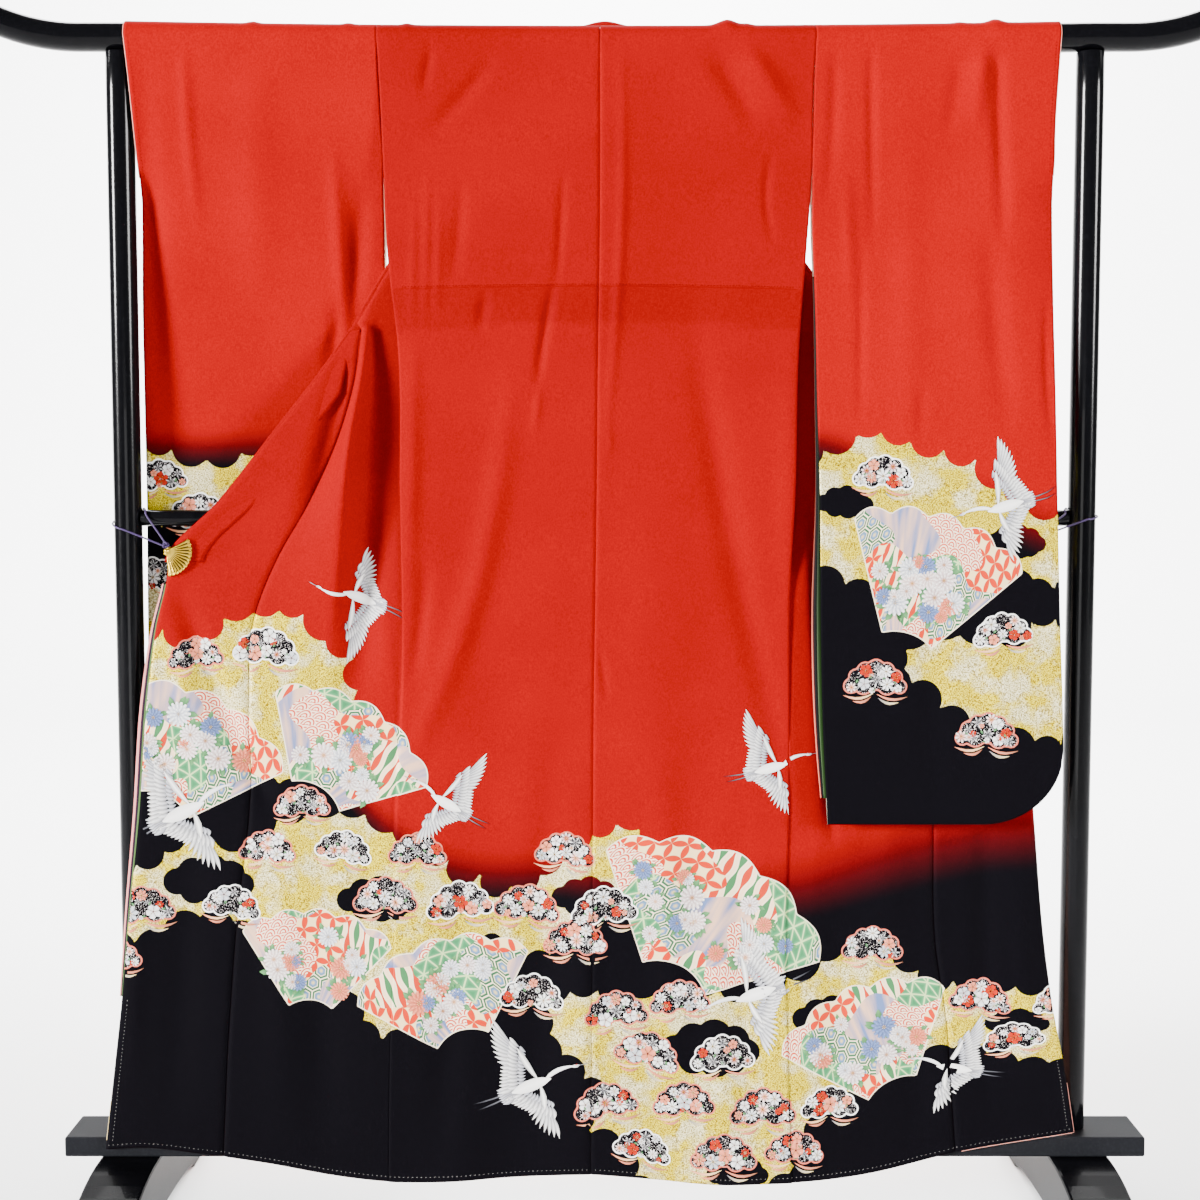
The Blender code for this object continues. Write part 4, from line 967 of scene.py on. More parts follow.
CHEST = Table("height depth turn back_depth edge_left edge_right", [
    (1.29, -0.0292, 0.188, -0.0110, 0.3510, 0.3430),
    (1.378, -0.0277, 0.172, -0.0040, 0.3005, 0.2785),
    (1.45, -0.0120, 0.150, 0.0080, 0.2437, 0.2260),
    (1.52, 0.0060, 0.120, 0.0210, 0.1880, 0.1750),
    (1.60, 0.0185, 0.078, 0.0300, 0.1160, 0.1100),
    (1.63, 0.0200, 0.069, 0.0300, 0.0740, 0.0740),
    (1.65, 0.0208, 0.064, 0.0290, 0.0642, 0.0642),
])

# Folds of the opened fronts. Left: one from the shoulder, the deep valley beside the back's edge,
# and four that spread from the clip. Right: the narrow valley. Then long soft ones to the hem
FRONT_CREASES = {
    -1: [
        (-0.358, 1.270, -0.436, 0.987, 0.0125, 0.0100, -0.008),
        (-0.326, 1.060, -0.360, 0.730, 0.0180, 0.0125, -0.002),
        (-0.600, 0.950, -0.440, 1.060, 0.0150, 0.0036, -0.008),
        (-0.606, 0.935, -0.470, 0.985, 0.0130, 0.0040, -0.006),
        (-0.610, 0.935, -0.452, 0.560, 0.0120, 0.0095, 0.010),
        (-0.622, 0.915, -0.545, 0.600, 0.0130, -0.0046, 0.006),
        (-0.395, 0.900, -0.420, 0.640, 0.0160, 0.0030, 0.004),
        (-0.345, 0.720, -0.350, 0.300, 0.0160, 0.0036, -0.008),
        (-0.450, 0.640, -0.460, 0.080, 0.0200, -0.0040, 0.006),
        (-0.600, 0.620, -0.625, 0.080, 0.0200, 0.0040, -0.008),
        (-0.395, 0.420, -0.400, 0.070, 0.0180, 0.0030, 0.004),
        (-0.655, 0.560, -0.680, 0.160, 0.0110, -0.0028, 0.003),
    ],
    1: [
        (0.292, 1.060, 0.325, 0.540, 0.0070, 0.0150, 0.000),
        (0.330, 0.560, 0.322, 0.070, 0.0180, 0.0036, -0.006),
        (0.420, 0.900, 0.405, 0.300, 0.0200, -0.0036, 0.008),
        (0.440, 0.420, 0.445, 0.070, 0.0160, 0.0030, -0.004),
        (0.545, 0.800, 0.550, 0.100, 0.0120, 0.0046, 0.005),
        (0.590, 0.620, 0.615, 0.120, 0.0130, -0.0036, 0.004),
        (0.560, 0.950, 0.500, 0.700, 0.0120, 0.0040, 0.004),
    ],
}
FRONT_LEVELS = np.concatenate([
    np.arange(HEM_LEVEL, FINE_TOP, FINE_STEP), np.arange(FINE_TOP, OKUMI_TOP - 0.004, COARSE_STEP),
    [OKUMI_TOP]])
CHEST_LEVELS = np.linspace(1.292, 1.65, 46)


def seam_roll(distance):
    """How far the cloth is rolled back near the okumi's seam."""
    return 0.0034 * np.exp(-distance / 0.0026)


def fade_above(v):
    """1 on the lower front, falling to 0 over the 60 mm below the okumi's top."""
    return clamp((OKUMI_TOP - v) / 0.06)


def soften(path, spread=0.0034, step=0.001):
    """The path with its corners rounded by a bell-shaped average of neighbours, its ends kept."""
    fine = even_steps(path, max(8, int(length_of(path) / step)))
    reach = int(3 * spread / step)
    weights = bell(np.arange(-reach, reach + 1) * step / spread)
    padded = np.concatenate([
        2 * fine[0] - fine[1:reach + 1][::-1], fine, 2 * fine[-1] - fine[-reach - 1:-1][::-1]])
    return np.stack([np.convolve(axis, weights / weights.sum(), mode="valid") for axis in padded.T], axis=1)


def front_path(side, height):
    """One level section of an opened front as (out, depth), from the side seam to the okumi
    seam, and the okumi's from there to the free edge."""
    size = {name: float(FRONTS[side].at(name, height)) for name in FRONTS[side].names[1:]}
    seam = float(BODY.at(SIDES[side], height))
    back = float(BODY.at("depth", height))
    start = (seam - SEAM_INSET, back + LAYER)
    recess = back + size["recess"]
    turn = start[0] - size["tuck"]
    inner = start[1] + TURN_SHARE * (recess - start[1])
    front = np.array([
        start, (turn, inner), (turn, recess), (seam + VALLEY_OUT, recess), (size["foot"], recess),
        (size["fold"], size["depth"] - size["forward"]), (size["okumi"], size["depth"])])
    slope = front[-1] - front[-2]
    clear = SEAM + abs(slope[1]) / math.hypot(*slope) * WALL / 2 + 0.0008 * max(0.0, 1.0 - slope[0] / 0.02)
    return front, np.array([(size["okumi"] + clear, size["depth"]), (size["edge"], size["depth"])])


def chest_path(side, height):
    """One level section of a front above the side seams: out from the armhole, turned back
    behind the bar, and ending at the collar."""
    seam = float(BODY.at(SIDES[side], height)) - SEAM_INSET
    depth, back_depth, turn = (float(CHEST.at(name, height)) for name in ("depth", "back_depth", "turn"))
    edge = float(CHEST.at("edge_" + SIDES[side], height))
    return np.array([(seam, depth), (turn, depth + TURN_SHARE * (back_depth - depth)), (turn, back_depth),
                     (edge, back_depth)])


def level_rows(side, paths, levels, ends):
    """Sections of equal point count as rows in place, with u counted along the cloth from its
    known end."""
    paths = np.array(paths)
    lengths = np.linalg.norm(np.diff(paths, axis=1), axis=2)
    along = np.concatenate([np.zeros((len(paths), 1)), np.cumsum(lengths, axis=1)], axis=1)
    u = side * (np.array(ends)[:, None] - along[:, -1:] + along)
    v = np.array(levels)[:, None] + 0 * u
    return side * paths[..., 0], paths[..., 1], u, v


def front_panel(side, columns=80):
    """A front from the hem round the bar to the shoulder, pushed in and out by its folds."""
    levels = np.concatenate([FRONT_LEVELS, CHEST_LEVELS])
    paths = [even_steps(soften(front_path(side, level)[0]), columns) for level in FRONT_LEVELS]
    paths += [even_steps(soften(chest_path(side, level)), columns) for level in CHEST_LEVELS]
    ends = [float(FRONTS[side].at("okumi", min(level, OKUMI_TOP))) for level in levels]
    x, y, u, v = level_rows(side, paths, levels, ends)
    seam = BODY.at(SIDES[side], v)
    off_back = clamp((np.abs(x) - seam - 0.002) / 0.012) * fade_above(v)
    y = y + off_back * creases(x, v, FRONT_CREASES[side]) + seam_roll(np.abs(u - u[:, -1:]))
    z = np.where(v <= OKUMI_TOP, hem_lift(x, v), v)
    points = np.stack([x, y, z], axis=-1)
    angles = np.linspace(math.pi / 2, SEAM / 2 / CREST, CREST_ROWS)
    top_x = side * np.linspace(float(BODY.at(SIDES[side], BAR_HEIGHT)) - SEAM_INSET,
                               CHEST_NECK, columns)
    points = np.concatenate([points, [over_bar(top_x, angle) for angle in angles]])
    top_u = np.repeat(u[-1:], CREST_ROWS, axis=0)
    top_v = BAR_HEIGHT + CREST * (math.pi / 2 - angles[:, None]) + 0 * top_u
    u, v = np.concatenate([u, top_u]), np.concatenate([v, top_v])
    return Panel(points, u, v)


def okumi_panel(side, columns=42):
    """The okumi, with the seam's edge rolled back and folds carried on from the front."""
    paths = [even_steps(front_path(side, level)[1], columns) for level in FRONT_LEVELS]
    ends = [float(FRONTS[side].at("edge", level)) for level in FRONT_LEVELS]
    x, y, u, v = level_rows(side, paths, FRONT_LEVELS, ends)
    y = y + creases(x, v, FRONT_CREASES[side]) * fade_above(v)
    roll = clamp(np.abs(u[:, -1:] - u[:, :1]) / 0.06)
    y = y + roll * (seam_roll(np.abs(u - u[:, :1])) + 0.0012 * np.exp(-np.abs(u - u[:, -1:]) / 0.0020))
    points = np.stack([x, y, hem_lift(x, v)], axis=-1)
    return Panel(points, u, v)


for side, label in SIDES.items():
    for name, panel, flat, rests in [
        ("front_" + label, front_panel(side), (0.31, 1.62), ["top_bar", "back_" + label]),
        ("okumi_" + label, okumi_panel(side), (0.17, 1.24), ["front_" + label]),
    ]:
        panels[name] = panel
        piece = cloth_piece(name, panel, BODY_DESIGN.dye(panel.u, panel.v))
        cloths[name] = (piece, panel, flat, rests)

# The collar: one folded band, behind the fronts' free edges and over the bar behind the neck.
# It shows as a narrow line past the edge, with the under collar's piping beyond it.
COLLAR_FOOT, COLLAR_WIDTH, COLLAR_PROUD = 0.956, 0.050, 0.0045
NECK_HALF_WIDTH, NECK_RISE = 0.0615, 0.0115
STAND_OFF = Table("height share", [(1.244, 0.0), (OKUMI_TOP, 1.0), (1.324, 0.0), (1.60, 0.0), (1.64, 1.0)])


def collar_panel(side, columns=12):
    """Half the collar: a band that lies behind the edge by one layer and stands a little out."""
    levels = np.concatenate([[COLLAR_FOOT], np.arange(COLLAR_FOOT + 0.005, OKUMI_TOP, 0.006), CHEST_LEVELS])
    low, high = np.minimum(levels, OKUMI_TOP), np.maximum(levels, CHEST_FOOT)
    below = levels <= OKUMI_TOP
    edge = np.where(below, FRONTS[side].at("edge", low),
                    CHEST.at("edge_" + SIDES[side], high))
    depth = np.where(below, FRONTS[side].at("depth", low), CHEST.at("back_depth", high))
    limit = np.where(below, FRONTS[side].at("okumi", low) + 0.002, CHEST.at("turn", high) + 0.010)
    stand_off = 0.002 * np.interp(levels, STAND_OFF.rows[:, 0], STAND_OFF.rows[:, 1])
    width = np.interp(np.abs(levels - OKUMI_TOP), [0.03, 0.09], [0.3 * COLLAR_WIDTH, COLLAR_WIDTH])
    inner = np.minimum(np.maximum(edge - width, limit), edge - 0.002)
    across = np.linspace(0.0, 1.0, columns)[None, :]
    out = (edge + COLLAR_PROUD)[:, None] * (1 - across) + inner[:, None] * across
    round_edge = 0.0009 * clamp(1.0 - (out - inner[:, None]) / 0.004)
    y = (depth + LAYER + stand_off)[:, None] + round_edge
    u, v = side * out, levels[:, None] + 0 * out
    return Panel(np.stack([u, y, v], axis=-1), u, v)


def neck_panel():
    """The collar behind the neck: it rises over the top of the bar by a half cosine to the fourth
    and drops behind it."""
    x = np.linspace(-NECK_HALF_WIDTH, NECK_HALF_WIDTH, 40)
    rise = NECK_RISE * np.cos(math.pi * x / (2 * NECK_HALF_WIDTH)) ** 4
    turn = np.linspace(0.062, 1.25, 18)[:, None]
    share = np.interp(turn, [0.062, 0.20, 0.38, 0.62, 0.95, 1.25], [0.0, 0.75, 1.0, 0.75, 0.35, 0.1])
    radius = CREST + rise * share
    points = np.stack([x + 0 * turn, radius * np.sin(turn), bar_height(x) + radius * np.cos(turn)], axis=-1)
    return Panel(points, x + 0 * turn, BAR_HEIGHT + CREST * turn + 0 * x)


for name, panel, flat, rests in [
    ("collar_left", collar_panel(-1), (0.055, 0.95), ["okumi_left"]),
    ("collar_right", collar_panel(1), (0.055, 0.92), ["okumi_right"]),
    ("collar_neck", neck_panel(), (0.123, 0.034), ["top_bar"]),
]:
    piece = cloth_piece(name, panel, BODY_DESIGN.dye(panel.u, panel.v))
    declare_sheet(panel, flat, rests)

# The sleeves: each one length folded over the bar, sewn down its outer edge below the cuff and
# along its rounded bottom, and left open at the inner edge.
SLEEVE_BOTTOM, SLEEVE_CORNER_WIDTH, SLEEVE_CORNER_HEIGHT = 0.588, 0.115, 0.105
CUFF_FOOT, CUFF_FADE = 1.490, 0.030
SEWN_SIDE_SHARE, SEWN_BOTTOM_SHARE, SLEEVE_FINE_TOP = 0.20, 0.12, 1.185
SLEEVES = {
    -1: Table("height inner outer middle room", [
        (0.588, 0.330, 0.6620, 0.0220, 0.0025), (0.90, 0.322, 0.6595, 0.0225, 0.0026),
        (1.04, 0.319, 0.6580, 0.0220, 0.0028), (1.18, 0.3155, 0.6580, 0.0192, 0.0035),
        (1.33, 0.312, 0.6579, 0.0160, 0.0085), (1.42, 0.3105, 0.6550, 0.0090, 0.0120),
        (1.49, 0.3105, 0.6538, 0.0030, 0.0145), (1.515, 0.3095, 0.6548, 0.0010, 0.0152),
        (1.56, 0.3115, 0.6577, -0.0010, 0.0170), (1.634, 0.3150, 0.6634, -0.0010, 0.0195),
        (1.69, 0.3181, 0.6690, 0.0000, 0.0213),
    ]),
    1: Table("height inner outer middle room", [
        (0.588, 0.3133, 0.6460, -0.0640, 0.0025), (0.736, 0.3057, 0.6435, -0.0575, 0.0026),
        (0.876, 0.3025, 0.6385, -0.0515, 0.0027), (1.04, 0.3010, 0.6333, -0.0460, 0.0028),
        (1.18, 0.2965, 0.6300, -0.0400, 0.0035), (1.32, 0.2929, 0.6265, -0.0290, 0.0080),
        (1.42, 0.2890, 0.6258, -0.0180, 0.0110), (1.515, 0.2890, 0.6255, -0.0120, 0.0145),
        (1.56, 0.2893, 0.6260, -0.0085, 0.0160), (1.634, 0.2912, 0.6300, -0.0035, 0.0190),
        (1.69, 0.2938, 0.6335, 0.0000, 0.0213),
    ]),
}
SLEEVE_CREASES = {
    -1: [
        (-0.586, 1.714, -0.571, 1.409, 0.0058, -0.0036, 0.003),
        (-0.381, 1.548, -0.368, 1.255, 0.0072, -0.0050, -0.001),
        (-0.342, 1.507, -0.361, 1.262, 0.0115, 0.0064, 0.000),
        (-0.378, 1.326, -0.396, 1.220, 0.0072, 0.0049, -0.002),
        (-0.586, 1.193, -0.518, 1.198, 0.0040, 0.0013, -0.001),
        (-0.640, 1.685, -0.632, 1.150, 0.0120, 0.0054, 0.006),
        (-0.480, 1.700, -0.488, 1.300, 0.0200, -0.0040, 0.006),
        (-0.520, 1.100, -0.540, 0.700, 0.0150, 0.0032, 0.004),
    ],
    1: [
        (0.369, 1.720, 0.375, 1.392, 0.0045, 0.0040, 0.001),
        (0.358, 1.413, 0.357, 1.142, 0.0045, 0.0027, 0.001),
        (0.319, 1.720, 0.308, 1.440, 0.0058, 0.0032, -0.005),
        (0.335, 1.509, 0.342, 1.323, 0.0058, -0.0027, -0.001),
        (0.527, 1.730, 0.514, 1.557, 0.0086, -0.0061, -0.002),
        (0.541, 1.730, 0.557, 1.392, 0.0065, 0.0064, 0.000),
        (0.536, 1.433, 0.569, 1.128, 0.0115, 0.0050, 0.006),
        (0.616, 1.330, 0.626, 1.114, 0.0040, 0.0032, 0.004),
        (0.494, 1.666, 0.476, 1.543, 0.0072, 0.0029, -0.002),
        (0.443, 1.212, 0.439, 1.121, 0.0058, 0.0022, 0.000),
        (0.425, 1.600, 0.430, 1.050, 0.0150, -0.0029, 0.004),
        (0.470, 0.980, 0.460, 0.600, 0.0160, 0.0029, 0.006),
        (0.555, 0.930, 0.560, 0.640, 0.0140, -0.0029, 0.004),
    ],
}
SLEEVE_DESIGNS = {
    -1: Design(
        bands=[
            [(-0.720, 1.085), (-0.640, 1.130), (-0.570, 1.110), (-0.500, 1.135), (-0.420, 1.110),
             (-0.350, 1.130), (-0.270, 1.100), (-0.270, 1.020), (-0.350, 0.990), (-0.430, 1.020),
             (-0.500, 0.985), (-0.580, 1.005), (-0.640, 0.985), (-0.720, 1.010)],
            [(-0.720, 0.945), (-0.650, 0.965), (-0.580, 0.940), (-0.500, 0.965), (-0.420, 0.930),
             (-0.340, 0.955), (-0.270, 0.935), (-0.270, 0.815), (-0.340, 0.790), (-0.430, 0.820),
             (-0.510, 0.790), (-0.590, 0.815), (-0.650, 0.785), (-0.720, 0.810)],
        ],
        openings=[(-0.560, 0.880, 0.050)],
        fans=[(-0.440, 0.760, 0.060, 0.180, 100.0, 40.0)],
        birds=[],
        shade=[(-0.75, 1.13, 0.030), (-0.55, 1.12, 0.030), (-0.40, 1.13, 0.030), (-0.25, 1.14, 0.030)],
        area=(-0.64, -0.34, 0.80, 1.12), seed=29),
    1: Design(
        bands=[
            [(0.240, 1.105), (0.315, 1.130), (0.380, 1.165), (0.440, 1.130), (0.500, 1.110),
             (0.560, 1.080), (0.605, 1.040), (0.680, 1.030), (0.680, 0.930), (0.610, 0.905),
             (0.545, 0.930), (0.490, 0.905), (0.425, 0.925), (0.365, 0.900), (0.310, 0.925), (0.240, 0.940)],
            [(0.430, 0.860), (0.500, 0.880), (0.570, 0.865), (0.620, 0.890), (0.680, 0.870),
             (0.680, 0.720), (0.620, 0.690), (0.555, 0.700), (0.490, 0.730), (0.430, 0.765), (0.390, 0.800)],
        ],
        openings=[(0.335, 1.040, 0.040), (0.575, 0.985, 0.042)],
        fans=[(0.405, 0.790, 0.070, 0.235, 72.0, 32.0)],
        birds=[(0.560, 1.035, 0.130, 196.0, -1)],
        shade=[(0.24, 1.140, 0.030), (0.32, 1.120, 0.030), (0.42, 1.080, 0.035), (0.52, 1.050, 0.040),
               (0.60, 1.010, 0.045), (0.72, 0.980, 0.050)],
        area=(0.33, 0.62, 0.72, 1.15), seed=47),
}


def sleeve_foot(side, across):
    """Height of the bottom edge: level, then up along a quarter ellipse at the outer corner."""
    table = SLEEVES[side]
    width = float(table.at("outer", SLEEVE_BOTTOM) - table.at("inner", SLEEVE_BOTTOM))
    past = clamp(((across - 1.0) * width + SLEEVE_CORNER_WIDTH) / SLEEVE_CORNER_WIDTH)
    return SLEEVE_BOTTOM + SLEEVE_CORNER_HEIGHT * (1.0 - np.sqrt(1.0 - past ** 2))


def sleeve_face(side, face, ups, across):
    """One layer of a sleeve up to the bar's axis. The two layers part by the room inside, which
    closes towards the sewn edges. Face is -1 towards the back and +1 towards the front."""
    table = SLEEVES[side]
    foot = sleeve_foot(side, across)
    height = foot + (BAR_HEIGHT - foot) * ups
    out = table.at("inner", height) + (table.at("outer", height) - table.at("inner", height)) * across
    closed = (WALL + SEAM) / 2
    sewn = clamp((CUFF_FOOT + CUFF_FADE - height) / (2 * CUFF_FADE))
    near = np.maximum(sewn * clamp(1.0 - (1.0 - across) / SEWN_SIDE_SHARE) ** 2,
                      clamp(1.0 - ups / SEWN_BOTTOM_SHARE) ** 2)
    room = closed + (table.at("room", height) - closed) * (1.0 - near)
    u = side * out
    push = creases(u, height, SLEEVE_CREASES[side]) * clamp((1.675 - height) / BAR_FADE)
    if face > 0:
        push = push * np.where(height < 1.30, 0.85, 1.0)
    y = table.at("middle", height) + face * room + push
    return np.stack([u, y, height], axis=-1), u, height


def sleeve_panels(side, columns=78):
    """The whole sleeve as one grid, from the bottom of its near layer over the bar to the bottom
    of the far one, and the near and far layers as places for ornaments."""
    even = np.linspace(0.0, 1.0, columns)
    across = 0.75 * even + 0.25 * (1.0 - np.cos(math.pi * even)) / 2
    fine = (SLEEVE_FINE_TOP - SLEEVE_BOTTOM) / (BAR_HEIGHT - SLEEVE_BOTTOM)
    ups = np.concatenate([np.linspace(0.0, fine, 145)[:-1], np.linspace(fine, 1.0, 62)[:-1]])
    far_ups = np.linspace(0.0, 1.0, 128)[:-1]
    near = sleeve_face(side, -1, ups[:, None], across[None])
    far = sleeve_face(side, 1, far_ups[:, None], across[None])
    table = SLEEVES[side]
    inner, outer = float(table.at("inner", BAR_HEIGHT)), float(table.at("outer", BAR_HEIGHT))
    top_x = side * (inner + (outer - inner) * across)
    angles = np.linspace(-math.pi / 2, math.pi / 2, 2 * CREST_ROWS - 1)
    crest = (np.stack([over_bar(top_x, angle) for angle in angles]), top_x + 0 * angles[:, None],
             BAR_HEIGHT + CREST * np.cos(angles)[:, None] + 0 * top_x)
    points, u, v = (np.concatenate([low, top, high[::-1]]) for low, top, high in zip(near, crest, far))
    on_near = np.arange(len(points))[:, None] < len(ups) + CREST_ROWS
    u = np.where(on_near, u, side * (inner + outer) - u)

    def finder(face_ups, mirrored):
        def find(u, v):
            low, high = table.at("inner", v), table.at("outer", v)
            out = inner + outer - side * u if mirrored else side * u
            share = (out - low) / (high - low)
            foot = sleeve_foot(side, clamp(share))
            up = (v - foot) / (BAR_HEIGHT - foot)
            return (np.interp(up, face_ups, np.arange(len(face_ups)), left=-1.0),
                    np.interp(share, across, np.arange(columns), left=-1.0, right=columns))
        return find

    near_panel, far_panel = Panel(*near, finder(ups, False)), Panel(*far, finder(far_ups, True))
    turned_away = near_panel if side < 0 else far_panel
    turned_away.normals *= -1
    return Panel(points, u, v), near_panel, far_panel


# Painted light: the sleeves take a copy of the same silk whose red is painted 1.2 times lighter than the
# back's.
SLEEVE_SILK_PAINTED_LIGHTER = silk("dyed_crepe_sleeve_painted_lighter", 1.20)
for side, label in SIDES.items():
    whole, near_panel, far_panel = sleeve_panels(side)
    name = "sleeve_" + label
    panels[name], panels["sleeve_far_" + label] = near_panel, far_panel
    dye = SLEEVE_DESIGNS[side].dye(whole.u, whole.v)
    piece = cloth_piece(name, whole, dye, SLEEVE_SILK_PAINTED_LIGHTER)
    cloths[name] = (piece, whole, (0.34, 2.26), ["top_bar"])

# The inner layers' edges: bands of plain silk that show past the right sleeve's open side and the
# left front, each reaching a little further than the one in front of it. Beside the sleeve their
# colours are partly the silks' own and partly painted shade of the narrow gap they lie in.
LAYER_SHADES = {
    "sleeve": [(0.32, (0.008, 0.022, 0.004)), (0.42, (0.032, 0.055, 0.022)), (0.70, (0.0010, 0.0003, 0.0005)),
               (0.84, (0.020, 0.0012, 0.0028)), (1.00, (0.46, 0.10, 0.060))],
    "front": [(0.28, (0.055, 0.11, 0.032)), (0.64, (0.016, 0.0046, 0.014)), (1.00, (0.62, 0.22, 0.20))],
}
SLEEVE_LAYERS = Table("height proud", [
    (0.62, 0.008), (0.70, 0.011), (0.86, 0.013), (1.10, 0.005), (1.36, 0.002)])
FRONT_LAYERS = Table("height proud", [(0.33, 0.004), (0.50, 0.008), (0.75, 0.010), (0.93, 0.006)])
LAYER_TUCKED, LAYER_SPACING, LAYER_WALL = 0.004, 0.00035, 0.0003


def tinted(name, roughness=0.55):
    """Silk in the colour that each point carries, with a fine thread grain."""
    recipe = Recipe(name)
    grain = recipe.noise(recipe.place(), 1700.0)
    recipe.bump(grain, 0.15, 0.0003)
    shade = recipe.mix(recipe.span(grain, 0.3, 0.7), (0.90, 0.90, 0.90), (1.0, 1.0, 1.0))
    made = recipe.node("ShaderNodeVectorMath", 0, [("operation", 'MULTIPLY')])
    recipe.join(recipe.read("tint", "Color"), made.node.inputs[0])
    recipe.join(shade, made.node.inputs[1])
    return recipe.finish(Base_Color=made, Roughness=roughness, Specular_IOR_Level=0.04)


LAYER_SILK = tinted("layer_silk_bands")


def tint(piece, colours):
    """Writes a colour for each point."""
    point_values(piece, "tint", np.column_stack([colours, np.ones(len(colours))]))


def layer_bands(name, side, edge, proud, depth, levels, shades, outward, dim):
    """Upright bands behind an edge. Each reaches its own share of the proud width past the edge,
    and lies 0.35 mm behind the band before it. Dim scales their colours at each level: painted
    shade where it is below 1."""
    count = len(shades)
    shares = np.array([share for share, _ in shades])[:, None, None]
    edge, proud, depth = edge[None, :, None], proud[None, :, None], depth[None, :, None]
    start = edge + outward * proud * shares
    out = start + (edge - outward * LAYER_TUCKED - start) * np.array([0.0, 0.35, 1.0])
    y = depth + 0.0012 + LAYER_SPACING * np.arange(count)[:, None, None] + 0 * out
    points = np.stack([side * out, y, levels[None, :, None] + 0 * out], axis=-1)
    if outward * side > 0:
        points = points[:, :, ::-1]
    faces = np.concatenate([grid_faces(len(levels), 3) + k * len(levels) * 3 for k in range(count)])
    piece = new_piece(name + "_bands", points, faces, LAYER_SILK)
    colours = np.array([shade for _, shade in shades])[:, None, None] * dim[None, :, None, None]
    tint(piece, np.repeat(colours, 3, axis=2).reshape(-1, 3))
    add_wall(piece, LAYER_WALL)
    settle(piece, "layer_silk", name)
    widths = float(np.linalg.norm(np.diff(points, axis=2), axis=-1).sum(axis=2).mean()) * count


levels = np.linspace(0.625, 1.355, 150)
table = SLEEVES[1]
# Painted shade: the sleeve's bands grow darker above 0.78 m, where they lie deep in the gap behind the
# sleeve.
layer_bands("sleeve_layers_right", 1, table.at("inner", levels),
            SLEEVE_LAYERS.at("proud", levels), table.at("middle", levels) - table.at("room", levels),
            levels, LAYER_SHADES["sleeve"], -1.0, np.interp(levels, [0.78, 0.90, 1.06], [1.0, 0.50, 0.12]))
levels = np.linspace(0.335, 0.925, 120)
layer_bands("front_layers_left", -1, FRONTS[-1].at("edge", levels),
            FRONT_LAYERS.at("proud", levels), FRONTS[-1].at("depth", levels),
            hem_lift(-FRONTS[-1].at("edge", levels), levels), LAYER_SHADES["front"], 1.0,
            np.ones(len(levels)))

# The drawn ornament: blossoms, leaves, cranes and the stitches along the edges, each painted or
# embroidered on the silk. Every shape is a fine leaf that lies on the cloth.
ORNAMENT = tinted("painted_ornament", 0.6)
WHITE, IVORY, CORAL, PINK = (0.92, 0.90, 0.87), (0.86, 0.68, 0.34), (0.46, 0.022, 0.008), (0.86, 0.26, 0.15)
BLUE, SKY = (0.045, 0.055, 0.19), (0.18, 0.26, 0.50)
GREEN, PALE_GREEN = (0.020, 0.085, 0.035), (0.13, 0.32, 0.12)
GREY, INK, LEAF_GOLD = (0.22, 0.22, 0.25), (0.006, 0.006, 0.010), (0.52, 0.30, 0.03)
DIM, PALE = (0.30, 0.30, 0.34), (0.62, 0.62, 0.66)
LEAF_LIFT, LEVEL_STEP = 0.00040, 0.00012
STITCH_LENGTH, STITCH_WIDTH, PIPING_RADIUS, PIPING_STEP = 0.0018, 0.0007, 0.0007, 0.004


class Ornament:
    """A store of leaf shapes in (u, v): each runs from its base to its tip, half its width given
    by a sine that peaks nearer the tip where blunt is above 1 and ends at a share of the width,
    and bows to one side."""

    def __init__(self):
        self.leaves = []

    def add(self, base, tip, width, first, last, edge=0.8, bow=0.0, blunt=1.0, level=0, steps=3, end=0.10):
        base, tip = np.atleast_2d(base).astype(float), np.atleast_2d(tip).astype(float)
        count = len(base)

        def each(value):
            return np.broadcast_to(value, (count,))[:, None, None]

        t = np.linspace(0.0, 1.0, steps + 1)[None, :, None] ** (0.7 if steps < 3 else 1.0)
        s = np.array([-1.0, 0.0, 1.0])
        swell = 0.10 + 0.90 * np.abs(np.sin(math.pi * t ** blunt)) ** 0.8
        swell[:, -1] = end
        run = (tip - base)[:, None, None]
        square = unit(np.stack([-run[..., 1], run[..., 0]], axis=-1))
        aside = each(bow) * np.sin(math.pi * t) - each(width) / 2 * swell * s
        spots = base[:, None, None] + run * t[..., None] + square * aside[..., None]
        first, last = (np.broadcast_to(colour, (count, 3))[:, None, None] for colour in (first, last))
        shade = np.where(np.abs(s) > 0.5, edge, 1.0)[:, None]
        colours = (first + (last - first) * t[..., None]) * shade
        lifts = LEAF_LIFT + LEVEL_STEP * each(level) + 0 * aside
        self.leaves.append((spots.reshape(-1, 2), colours.reshape(-1, 3), lifts.ravel(), count, steps))

    def piece(self, name, panel):
        """The stored leaves that lie on one panel, as one object, without faces past its edge."""
        points, colours, faces, total = [], [], [], 0
        for spots, colour, lifts, count, steps in self.leaves:
            laid, inside = panel.lay(spots[:, 0], spots[:, 1], lifts)
            own = grid_faces(steps + 1, 3) + np.arange(count)[:, None, None] * (steps + 1) * 3
            own = own.reshape(-1, 4)
            faces.append(own[inside[own].all(axis=1)] + total)
            points.append(laid)
            colours.append(colour)
            total += len(laid)
        points, colours, faces = np.concatenate(points), np.concatenate(colours), np.concatenate(faces)
        if not len(faces):
            return None
        used, index = np.unique(faces, return_inverse=True)
        piece = new_piece(name, points[used], index.reshape(faces.shape).tolist(), ORNAMENT)
        tint(piece, colours[used])
        return settle(piece, "red_silk")


